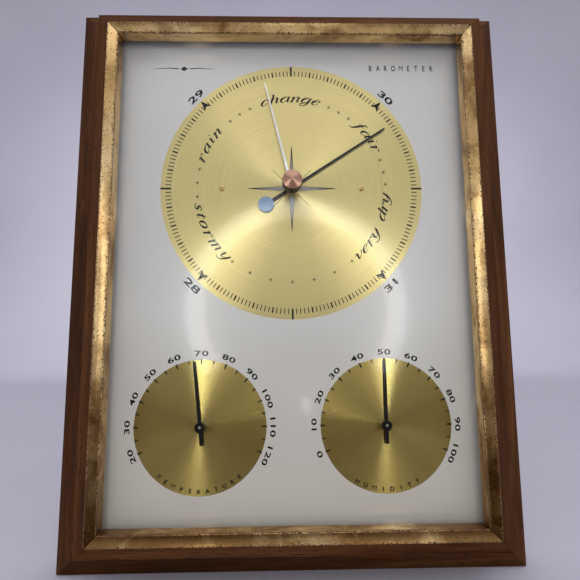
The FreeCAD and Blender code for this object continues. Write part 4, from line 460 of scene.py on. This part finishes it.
class Ink:
    """Collects thin solids of ink that lie on the dial plate."""

    def __init__(self, name, material):
        self.name = name
        self.material = material
        self.points = []
        self.faces = []

    def height(self, share):
        return PLATE_FRONT + INK_FOOT + share * (INK_TOP - INK_FOOT)

    def point(self, x, z, share):
        self.points.append((x * MM, -self.height(share) * MM, z * MM))
        return len(self.points) - 1

    def shape(self, outline):
        """Filled outline through (x, z) points."""
        if signed_area(outline) < 0:
            outline = outline[::-1]
        back = [self.point(x, z, 0) for x, z in outline]
        front = [self.point(x, z, 1) for x, z in outline]
        self.faces.append(front)
        self.faces.append(back[::-1])
        for index in range(len(outline)):
            after = (index + 1) % len(outline)
            self.faces.append([back[index], back[after], front[after], front[index]])

    def dot(self, x, z, radius, sides=14):
        self.shape([clock((x, z), radius, 360 * i / sides) for i in range(sides)])

    def bar(self, start, end, width_start, width_end=None):
        """Straight mark that may taper."""
        width_end = width_start if width_end is None else width_end
        direction = Vector((end[0] - start[0], end[1] - start[1])).normalized()
        side = Vector((-direction.y, direction.x)) / 2
        self.shape([
            (start[0] - side.x * width_start, start[1] - side.y * width_start),
            (end[0] - side.x * width_end, end[1] - side.y * width_end),
            (end[0] + side.x * width_end, end[1] + side.y * width_end),
            (start[0] + side.x * width_start, start[1] + side.y * width_start),
        ])

    def stroke(self, path):
        """Pen stroke through (x, z, width) points, as one closed ribbon with rounded ends."""
        left, right = [], []
        for index, (x, z, width) in enumerate(path):
            before, after = path[max(0, index - 1)], path[min(len(path) - 1, index + 1)]
            direction = Vector((after[0] - before[0], after[1] - before[1])).normalized()
            side = Vector((-direction.y, direction.x)) * width / 2
            left.append((x + side.x, z + side.y))
            right.append((x - side.x, z - side.y))
        rows = [[self.point(x, z, share) for x, z in line]
                for line, share in ((left, 1), (right, 1), (right, 0), (left, 0))]
        for index in range(len(path) - 1):
            for first, second in zip(rows, rows[1:] + rows[:1]):
                self.faces.append([first[index], second[index], second[index + 1], first[index + 1]])
        self.faces.append([row[0] for row in rows][::-1])
        self.faces.append([row[-1] for row in rows])
        for x, z, width in (path[0], path[-1]):
            self.dot(x, z, width / 2, 10)

    def letter(self, character, height, stretch, place, weight):
        """Character of the plain built-in face, centred on its placement."""
        vertices, faces, low, high, cap = plain_character(character, weight)
        scale = height / cap
        middle = (low + high) / 2
        start = len(self.points)
        for x, y, share in vertices:
            spot = place((x - middle) * scale * stretch, y * scale - height / 2)
            self.point(*spot, share)
        self.faces.extend([[start + index for index in face] for face in faces])

    def script(self, character, height, place):
        """Italic character of the dial's words, drawn by pen strokes."""
        strokes, dots, width = GLYPHS[character]

        def spot(x, y):
            return place((x + SLANT * y - width / 2 - SLANT / 2) * height * WIDEN, (y - 0.5) * height)

        for stroke in strokes:
            path = []
            for x, y, pen in smooth(stroke):
                path.append((*spot(x, y), pen * height * PEN))
            self.stroke(path)
        for x, y, radius in dots:
            self.dot(*spot(x, y), radius * height)

    def build(self):
        mesh = bpy.data.meshes.new(self.name)
        mesh.from_pydata(self.points, [], self.faces)
        mesh.validate()
        orient_outward(mesh)
        piece = bpy.data.objects.new(self.name, mesh)
        bpy.context.scene.collection.objects.link(piece)
        mesh.materials.append(self.material)
        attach(piece, "case")


def signed_area(outline):
    """Positive for an outline that runs anticlockwise as seen from the front."""
    pairs = zip(outline, outline[1:] + outline[:1])
    return sum(a[0] * b[1] - b[0] * a[1] for a, b in pairs) / 2


def smooth(stroke):
    """Catmull-Rom curve through a stroke's points."""
    points = [stroke[0], *stroke, stroke[-1]]
    path = []
    for index in range(1, len(points) - 2):
        p0, p1, p2, p3 = points[index - 1:index + 3]
        for step in range(CURVE_STEPS):
            t = step / CURVE_STEPS
            path.append(tuple(
                0.5 * (2 * b + (c - a) * t + (2 * a - 5 * b + 4 * c - d) * t**2 + (3 * b - a - 3 * c + d) * t**3)
                for a, b, c, d in zip(p0, p1, p2, p3)))
    path.append(stroke[-1])
    return path


characters = {}


def plain_character(character, weight):
    """Mesh of one character of Blender's built-in face: points, faces, left, right and cap height."""
    key = (character, weight)
    if key not in characters:
        vertices, faces, (low, high), _ = mesh_of(character, weight)
        characters[key] = (vertices, faces, low, high, mesh_of("H", weight)[3])
    return characters[key]


def mesh_of(text, weight):
    """Solid of one character, its outline thickened by a weight."""
    curve = bpy.data.curves.new("character", "FONT")
    curve.body = text
    curve.extrude = 0.5
    curve.offset = weight
    curve.resolution_u = 6
    holder = bpy.data.objects.new("character", curve)
    bpy.context.scene.collection.objects.link(holder)
    mesh = bpy.data.meshes.new_from_object(holder.evaluated_get(bpy.context.evaluated_depsgraph_get()))
    vertices = [(v.co.x, v.co.y, v.co.z + 0.5) for v in mesh.vertices]
    faces = [list(polygon.vertices) for polygon in mesh.polygons]
    bpy.data.objects.remove(holder)
    bpy.data.curves.remove(curve)
    bpy.data.meshes.remove(mesh)
    across = [v[0] for v in vertices]
    up = [v[1] for v in vertices]
    return vertices, faces, (min(across), max(across)), max(up)


# Italic letters in x-heights, before they are slanted and widened: pen strokes of (x, y, width),
# round endings of (x, y, radius), and the width of the letter. ENTRY, BOWL and HOOK are shared strokes.
SLANT = 0.36
WIDEN = 1.5
PEN = 2.0
ENTRY = [(-0.12, 0.74, .045), (0.04, 0.97, .06), (0.16, 0.92, .13), (0.18, 0.7, .17)]
BOWL = [(0.84, 0.80, .05), (0.64, 0.99, .06), (0.40, 0.96, .10), (0.15, 0.72, .17), (0.08, 0.40, .19),
        (0.18, 0.08, .13), (0.36, 0.0, .07), (0.60, 0.16, .045), (0.84, 0.50, .045)]
HOOK = [(0.88, 0.20, .15), (0.94, 0.02, .09), (1.06, 0.03, .05), (1.18, 0.20, .045)]
GLYPHS = {
    "a": ([BOWL, [(0.90, 1.0, .12), (0.88, 0.6, .18), *HOOK]], [], 1.0),
    "c": ([[(0.78, 0.80, .07), (0.66, 0.96, .07), (0.46, 0.99, .07), (0.18, 0.74, .15), (0.07, 0.38, .19),
            (0.18, 0.06, .12), (0.42, 0.0, .06), (0.80, 0.26, .045)]], [(0.76, 0.80, .11)], 0.85),
    "d": ([BOWL, [(0.72, 1.56, .05), (0.88, 1.62, .10), (0.89, 1.3, .17), (0.88, 0.6, .18), *HOOK]], [], 1.0),
    "e": ([[(0.10, 0.44, .045), (0.42, 0.50, .05), (0.74, 0.70, .08), (0.70, 0.94, .09), (0.46, 1.0, .07),
            (0.18, 0.76, .15), (0.07, 0.40, .19), (0.18, 0.06, .12), (0.42, 0.0, .06), (0.80, 0.28, .045)]], [], 0.85),
    "f": ([[(0.98, 1.48, .07), (0.84, 1.62, .06), (0.66, 1.48, .11), (0.55, 1.0, .17), (0.47, 0.3, .18),
            (0.36, -0.30, .13), (0.18, -0.56, .06), (0.02, -0.46, .07)], [(0.24, 0.95, .06), (0.92, 0.95, .06)]],
          [(0.98, 1.48, .10), (0.02, -0.44, .10)], 0.8),
    "g": ([BOWL, [(0.90, 1.0, .12), (0.88, 0.6, .17), (0.86, 0.0, .15), (0.74, -0.40, .09), (0.44, -0.58, .07),
                  (0.16, -0.46, .09), (0.12, -0.26, .07), (0.50, -0.04, .045), (1.10, 0.22, .045)]], [], 1.0),
    "h": ([[(-0.06, 1.54, .05), (0.12, 1.62, .10), (0.15, 1.3, .17), (0.14, 0.0, .17)],
           [(0.16, 0.42, .045), (0.38, 0.88, .05), (0.60, 1.0, .09), (0.76, 0.86, .17), (0.76, 0.55, .18),
            *[(x - 0.12, y, w) for x, y, w in HOOK]]], [], 0.95),
    "i": ([[*ENTRY, (0.18, 0.24, .16), (0.24, 0.02, .09), (0.36, 0.03, .05), (0.50, 0.22, .045)]],
          [(0.20, 1.42, .12)], 0.36),
    "m": ([[*ENTRY, (0.18, 0.0, .17)],
           [(0.20, 0.42, .045), (0.38, 0.88, .05), (0.58, 1.0, .09), (0.72, 0.86, .16), (0.72, 0.0, .17)],
           [(0.74, 0.42, .045), (0.92, 0.88, .05), (1.12, 1.0, .09), (1.27, 0.86, .16), (1.28, 0.55, .18),
            *[(x + 0.40, y, w) for x, y, w in HOOK]]], [], 1.5),
    "n": ([[*ENTRY, (0.18, 0.0, .17)],
           [(0.20, 0.42, .045), (0.40, 0.88, .05), (0.62, 1.0, .09), (0.78, 0.86, .17), (0.79, 0.55, .18),
            *[(x - 0.09, y, w) for x, y, w in HOOK]]], [], 0.98),
    "o": ([[(0.50, 1.0, .07), (0.22, 0.86, .13), (0.08, 0.46, .19), (0.20, 0.08, .12), (0.44, 0.0, .06),
            (0.72, 0.14, .13), (0.86, 0.54, .19), (0.76, 0.90, .12), (0.50, 1.0, .07)]], [], 0.94),
    "r": ([[*ENTRY, (0.18, 0.0, .17)],
           [(0.20, 0.42, .045), (0.38, 0.86, .05), (0.56, 1.0, .07), (0.70, 0.94, .09)]], [(0.70, 0.86, .12)], 0.72),
    "s": ([[(0.70, 0.76, .06), (0.64, 0.94, .07), (0.42, 1.0, .07), (0.20, 0.84, .12), (0.26, 0.60, .18),
            (0.56, 0.40, .18), (0.62, 0.14, .12), (0.38, 0.0, .07), (0.12, 0.04, .07), (0.04, 0.22, .06)]],
          [(0.70, 0.76, .10), (0.04, 0.23, .10)], 0.72),
    "t": ([[(0.34, 1.40, .05), (0.26, 1.06, .12), (0.22, 0.6, .17), (0.21, 0.22, .16), (0.28, 0.02, .09),
            (0.42, 0.03, .05), (0.58, 0.22, .045)], [(0.0, 0.95, .06), (0.62, 0.95, .06)]], [], 0.5),
    "v": ([[(-0.12, 0.76, .045), (0.06, 0.98, .08), (0.20, 0.84, .17), (0.24, 0.36, .17), (0.34, 0.02, .09),
            (0.62, 0.26, .05), (0.82, 0.66, .06), (0.80, 0.92, .08)]], [(0.78, 0.90, .11)], 0.84),
    "y": ([[(-0.12, 0.76, .045), (0.06, 0.98, .08), (0.20, 0.84, .17), (0.20, 0.36, .17), (0.34, 0.04, .10),
            (0.58, 0.14, .05), (0.84, 0.56, .045)],
           [(0.92, 1.0, .12), (0.89, 0.5, .18), (0.80, -0.12, .14), (0.58, -0.48, .08), (0.28, -0.56, .06),
            (0.08, -0.44, .07)]], [(0.10, -0.42, .12)], 1.0),
}


def disc_solid(name, center, radius, material):
    """Gold disc on the dial plate, lathe-turned: a thin solid with a softened edge."""
    sides = 240
    profile = [(radius, 0.0), (radius, GOLD_TOP - 0.008), (radius - 0.02, GOLD_TOP)]
    profile += [(radius * share, GOLD_TOP) for share in (0.9, 0.7, 0.5, 0.3, 0.1)]
    points, faces = [], []
    for reach, rise in profile:
        for side in range(sides):
            x, z = clock((0, 0), reach, 360 * side / sides)
            points.append((x * MM, -(rise + GOLD_FOOT) * MM, z * MM))
    for row in range(len(profile) - 1):
        for side in range(sides):
            after = (side + 1) % sides
            faces.append([row * sides + side, (row + 1) * sides + side,
                          (row + 1) * sides + after, row * sides + after])
    faces.append(list(range(sides))[::-1])
    faces.append([(len(profile) - 1) * sides + side for side in range(sides)])
    mesh = bpy.data.meshes.new(name)
    mesh.from_pydata(points, [], faces)
    mesh.materials.append(material)
    piece = bpy.data.objects.new(name, mesh)
    piece.location = (center[0] * MM, -PLATE_FRONT * MM, center[1] * MM)
    bpy.context.scene.collection.objects.link(piece)
    orient_outward(mesh)
    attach(piece, "case")


def orient_outward(mesh):
    """Turn a closed mesh's faces outward."""
    work = bmesh.new()
    work.from_mesh(mesh)
    bmesh.ops.recalc_face_normals(work, faces=work.faces)
    work.to_mesh(mesh)
    work.free()


# ---- dials -----------------------------------------------------------------------------------

BAROMETER_RADIUS = 65.6
SMALL_RADIUS = 31.0
WORD_HEIGHT = 2.85
WORD_RADIUS = 47.6
LETTER_GAP = 0.42
SPACE_WIDTH = 1.3
SMALL_SCALE_START = -112.5
SMALL_SCALE_STEP = 11.25
DIGIT_WEIGHT = 0.022


def center_of(joint):
    return PIVOT[joint].x / MM, PIVOT[joint].z / MM


def words(ink, center, text, first, last, inward):
    """Word on the barometer, its letters spread by their widths between two angles."""
    widths = [GLYPHS[letter][2] + LETTER_GAP if letter != " " else SPACE_WIDTH for letter in text]
    total = sum(widths)
    travelled = 0.0
    for letter, width in zip(text, widths):
        share = (travelled + width / 2) / total
        travelled += width
        if letter != " ":
            angle = first + (last - first) * share
            ink.script(letter, WORD_HEIGHT, on_arc(center, WORD_RADIUS, angle, inward))


def cross_mark(ink, x, z, turn):
    """Small upright cross whose arms taper to their ends."""
    outline = []
    for arm in range(4):
        outline.append(clock((x, z), 0.98, turn + 90 * arm - 7))
        outline.append(clock((x, z), 0.98, turn + 90 * arm + 7))
        outline.append(clock((x, z), 0.26, turn + 90 * arm + 45))
    ink.shape(outline)


def barometer_dial(gold, black, grey):
    """Gold disc, scale, arrowheads, words, crosses and compass rose of the barometer."""
    center = center_of("barometer_hand_turn")
    radius = BAROMETER_RADIUS
    disc_solid("barometer_gold", center, radius, gold)
    ink = Ink("barometer_print", black)
    for tick in range(200):
        degrees = tick * 1.8
        width = 0.75 if tick % 5 == 0 else 0.45
        inner, outer = 0.919 * radius, 0.962 * radius
        if tick % 50 == 0:
            width, outer = 0.95, radius
        if tick % 50 != 25:
            ink.bar(clock(center, inner, degrees), clock(center, outer, degrees), width)
    for degrees in (-135, -45, 45, 135):
        tip = clock(center, radius, degrees)
        base = radius * 0.918
        ink.shape([
            tip,
            clock(center, base, degrees + 1.95),
            clock(center, base + 1.25, degrees),
            clock(center, base, degrees - 1.95),
        ])
    marks = [-26.6, -33.8, -41.2, -77.7, -86.4, -95.1, 24, 31, 38.3, 71.5, 79.5, 87.2,
             180, 167, -167, 154, -154, 141.5, -141.5]
    for degrees in marks:
        x, z = clock(center, 0.722 * radius, degrees)
        cross_mark(ink, x, z, degrees)
    words(ink, center, "rain", -73.5, -48.5, False)
    words(ink, center, "change", -19.5, 18.5, False)
    words(ink, center, "fair", 42.5, 66.5, False)
    words(ink, center, "stormy", -98.5, -139.5, True)
    words(ink, center, "very dry", 138.5, 93.0, True)
    for text, degrees, inward in (("28", -135, True), ("29", -45, False), ("30", 45, False), ("31", 135, True)):
        number(ink, center, text, 69.1, degrees, inward, 3.3, 2.0, 4.75)
    ink.build()
    compass_rose(center, black, grey)


def number(ink, center, text, radius, degrees, inward, height, stretch, pitch):
    """Number whose digits follow the dial's edge."""
    step = math.degrees(pitch / radius) * (-1 if inward else 1)
    for index, digit in enumerate(text):
        shift = (index - (len(text) - 1) / 2) * step
        ink.letter(digit, height, stretch, on_arc(center, radius, degrees + shift, inward), DIGIT_WEIGHT)


def compass_rose(center, black, grey):
    """Four long spikes with dark outlines and a grey filling, and four fine rays."""
    ink = Ink("compass_rose_lines", black)
    fill = Ink("compass_rose_fill", grey)
    length, root, half = 21.9, 4.0, 1.15
    spread = math.degrees(math.atan2(half, root))
    for turn in range(4):
        degrees = 90 * turn
        tip = clock(center, length, degrees)
        corners = [clock(center, math.hypot(root, half), degrees + side * spread) for side in (1, -1)]
        for corner in corners:
            ink.bar(corner, tip, 0.2, 0.3)
        ink.bar(clock(center, root, degrees), tip, 0.13, 0.3)
        fill.shape([tip, corners[0], corners[1]])
        ink.bar(clock(center, root, degrees + 45), clock(center, 13.5, degrees + 45), 0.34, 0.24)
    ink.build()
    fill.build()


def small_dial(name, gold, black, numbers, caption, caption_span):
    """Gold disc, scale, numbers and caption of the thermometer or hygrometer."""
    center = center_of(f"{name}_hand_turn")
    disc_solid(f"{name}_gold", center, SMALL_RADIUS, gold)
    ink = Ink(f"{name}_print", black)
    for step in range(21):
        degrees = SMALL_SCALE_START + SMALL_SCALE_STEP * step
        major = step % 2 == 0
        outer = SMALL_RADIUS + (0.25 if major else 0.05)
        inner = SMALL_RADIUS - (2.1 if major else 1.7)
        ink.bar(clock(center, inner, degrees), clock(center, outer, degrees), 0.68 if major else 0.6)
    for index, value in enumerate(numbers):
        degrees = SMALL_SCALE_START + 2 * SMALL_SCALE_STEP * index
        number(ink, center, str(value), 34.15, degrees, False, 2.45, 1.8, 3.45)
    first, last = caption_span
    for index, letter in enumerate(caption):
        degrees = first + (last - first) * index / (len(caption) - 1)
        stretch, weight = (1.1, 0.0) if letter == "M" else (1.0, 0.034)
        ink.letter(letter, 1.95, stretch, on_arc(center, 28.9, degrees, True), weight)
    ink.build()


def plate_lettering(black):
    """Title at the upper right and a plain ornament at the upper left."""
    ink = Ink("plate_lettering", black)
    x0, z0 = center_of("barometer_hand_turn")
    for index, letter in enumerate("BAROMETER"):
        stretch, weight = (0.74, 0.0) if letter == "M" else (0.68, 0.014)
        ink.letter(letter, 2.95, stretch, on_line(x0 + 41.5 + 4.0 * index, z0 + 65.1), weight)
    middle = (x0 - 55.2, z0 + 64.2)
    for side in (1, -1):
        ink.stroke([(middle[0] + side * reach, middle[1] + rise, width) for reach, rise, width in (
            (3.0, 0.0, 0.55), (7.0, 0.35, 0.42), (11.0, 0.1, 0.3), (15.5, 0.0, 0.16))])
    ink.shape([(middle[0] + dx, middle[1] + dz) for dx, dz in ((-2.0, 0), (0, -1.3), (2.0, 0), (0, 1.3))])
    ink.build()


def build_dials():
    """All three dials and the plate's lettering."""
    black = enamel("dial_ink", (0.003, 0.0034, 0.0042), 0.6, gloss=0.12, coat=0.0)
    grey = enamel("rose_grey", (0.34, 0.345, 0.325), 0.5, gloss=0.2, coat=0.0)
    barometer_dial(spun_gold("barometer_gilt", (0.73, 0.615, 0.27), 0.33, 0.95, 0.75), black, grey)
    small = spun_gold("small_gilt", (0.86, 0.69, 0.24), 0.27, 1.0, 1.0)
    small_dial("thermometer", small, black, range(20, 121, 10), "TEMPERATURE", (-139.6, -219.6))
    small_dial("hygrometer", small, black, range(0, 101, 10), "HUMIDITY", (-150.5, -208.7))
    plate_lettering(black)


# ---- stage -----------------------------------------------------------------------------------


def build_stage():
    """Pale floor that sweeps up far behind the instrument."""
    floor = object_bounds()[0].z - 0.0002
    near, turn, bend, top, side = -8.0, 0.9, 0.6, 2.6, 14.0
    finish = Finish("pale_sweep", (0.52, 0.51, 0.60), 0.0, 0.75)
    cloud = finish.noise(finish.stretched((3, 3, 3)), 3, 0.5)
    finish.feed("Base Color", finish.ramp(cloud, [(0.3, (0.53, 0.515, 0.61)), (0.7, (0.56, 0.545, 0.64))]))
    profile = [(near, 0.0), (turn, 0.0)]
    for step in range(1, 13):
        angle = math.radians(90 * step / 12)
        profile.append((turn + bend * math.sin(angle), bend * (1 - math.cos(angle))))
    profile.append((turn + bend, top))
    points = [(x, y, floor + z) for y, z in profile for x in (-side, side)]
    faces = [[2 * i, 2 * i + 1, 2 * i + 3, 2 * i + 2] for i in range(len(profile) - 1)]
    mesh = bpy.data.meshes.new("sweep")
    mesh.from_pydata(points, [], faces)
    mesh.materials.append(finish.material)
    for polygon in mesh.polygons:
        polygon.use_smooth = True
    sweep = bpy.data.objects.new("sweep", mesh)
    bpy.context.scene.collection.objects.link(sweep)
    sweep.visible_glossy = False


def area_light(name, location, target, size, radiance, color=(1, 1, 1), shape="RECTANGLE"):
    """Lamp of a given brightness, which shows in reflections but not to the camera."""
    light = bpy.data.lights.new(name, "AREA")
    light.shape = shape
    light.size = size[0]
    area = size[0] * size[-1]
    if shape == "RECTANGLE":
        light.size_y = size[1]
    else:
        area *= math.pi / 4
    light.energy = radiance * area * math.pi
    light.color = color
    holder = bpy.data.objects.new(name, light)
    holder.location = location
    holder.rotation_euler = (Vector(target) - Vector(location)).to_track_quat("-Z", "Y").to_euler()
    holder.visible_camera = False
    bpy.context.scene.collection.objects.link(holder)
    return holder


def arch_light():
    """Arch of small lamps round the camera, open at the bottom: a cool outer row and a warm inner row."""
    middle = Vector((0.0083, -0.2124, -0.0079))
    lamps, reach, lamp_size, radiance = 48, 124, 0.0105, 5.2
    for row, radius, color in (("outer", 0.1005, (0.86, 0.94, 1.0)), ("inner", 0.0915, (1.0, 0.93, 0.84))):
        for index in range(lamps):
            angle = math.radians(-reach + 2 * reach * index / (lamps - 1))
            place = middle + radius * Vector((math.sin(angle), 0, math.cos(angle)))
            area_light(f"{row}_lamp_{index}", place, place + Vector((0, 1, 0)), (lamp_size,), radiance, color, "DISK")


def sky(tree):
    """Surround: a dim room in front, darker and warmer below the horizon, between pale side walls."""

    def step(value, low, high):
        node = tree.nodes.new("ShaderNodeMapRange")
        node.interpolation_type = "SMOOTHSTEP"
        node.inputs["From Min"].default_value = low
        node.inputs["From Max"].default_value = high
        tree.links.new(value, node.inputs["Value"])
        return node.outputs["Result"]

    def blend(factor, first, second):
        """First colour where the factor is 0, second where it is 1."""
        node = tree.nodes.new("ShaderNodeMix")
        node.data_type = "RGBA"
        tree.links.new(factor, node.inputs[0])
        for socket, value in ((node.inputs[6], first), (node.inputs[7], second)):
            if isinstance(value, tuple):
                socket.default_value = (*value, 1.0)
            else:
                tree.links.new(value, socket)
        return node.outputs[2]

    coordinates = tree.nodes.new("ShaderNodeTexCoord")
    split = tree.nodes.new("ShaderNodeSeparateXYZ")
    tree.links.new(coordinates.outputs["Generated"], split.inputs[0])
    x, y, z = split.outputs
    sideways = tree.nodes.new("ShaderNodeMath")
    sideways.operation = "ABSOLUTE"
    tree.links.new(x, sideways.inputs[0])
    front = blend(step(z, -0.03, 0.02), (0.09, 0.075, 0.055), (0.50, 0.505, 0.52))
    overhead = blend(step(z, 0.55, 0.85), front, (0.75, 0.74, 0.76))
    walls = blend(step(sideways.outputs[0], 0.58, 0.85), overhead, (1.15, 1.13, 1.15))
    return blend(step(y, -0.2, 0.4), walls, (0.78, 0.77, 0.81))


def build_light():
    """Soft studio light: lamps round the camera, a soft box overhead, and fill that casts no glare."""
    arch_light()
    area_light("overhead", (0.04, -0.26, 0.42), (0, -0.03, 0.02), (0.5, 0.22), 1.25)
    area_light("spot", (0.017, -0.2124, -0.0976), (0.017, 0, -0.0976), (0.006, 0.012), 7.0)
    fill = area_light("fill", (0.1, -1.5, 0.35), (0, 0, 0), (1.5, 1.2), 0.5)
    fill.visible_glossy = False
    area_light("rear", (0.0, 0.8, 0.62), (0.0, 1.5, 0.5), (1.9, 0.5), 2.1)
    world = bpy.data.worlds.new("studio")
    bpy.context.scene.world = world
    world.use_nodes = True
    tree = world.node_tree
    background = tree.nodes["Background"]
    background.inputs["Strength"].default_value = 1.0
    tree.links.new(sky(tree), background.inputs["Color"])


def build_camera():
    """Camera close below the middle, looking slightly up."""
    camera = bpy.data.cameras.new("camera")
    camera.sensor_width = 36.0
    camera.lens = 23.96
    camera.clip_start = 0.01
    holder = bpy.data.objects.new("camera", camera)
    right = Vector((0.99979, -0.01911, -0.00707))
    up = Vector((0.00497, -0.10802, 0.99414))
    back = Vector((-0.01976, -0.99397, -0.10790))
    holder.matrix_world = Matrix.Translation((-0.00498, -0.21241, -0.03057)) @ Matrix(
        (right, up, back)).transposed().to_4x4()
    bpy.context.scene.collection.objects.link(holder)
    bpy.context.scene.camera = holder


bpy.context.scene.view_settings.view_transform = "Standard"
finish_nodes()
build_dials()
build_stage()
build_light()
build_camera()
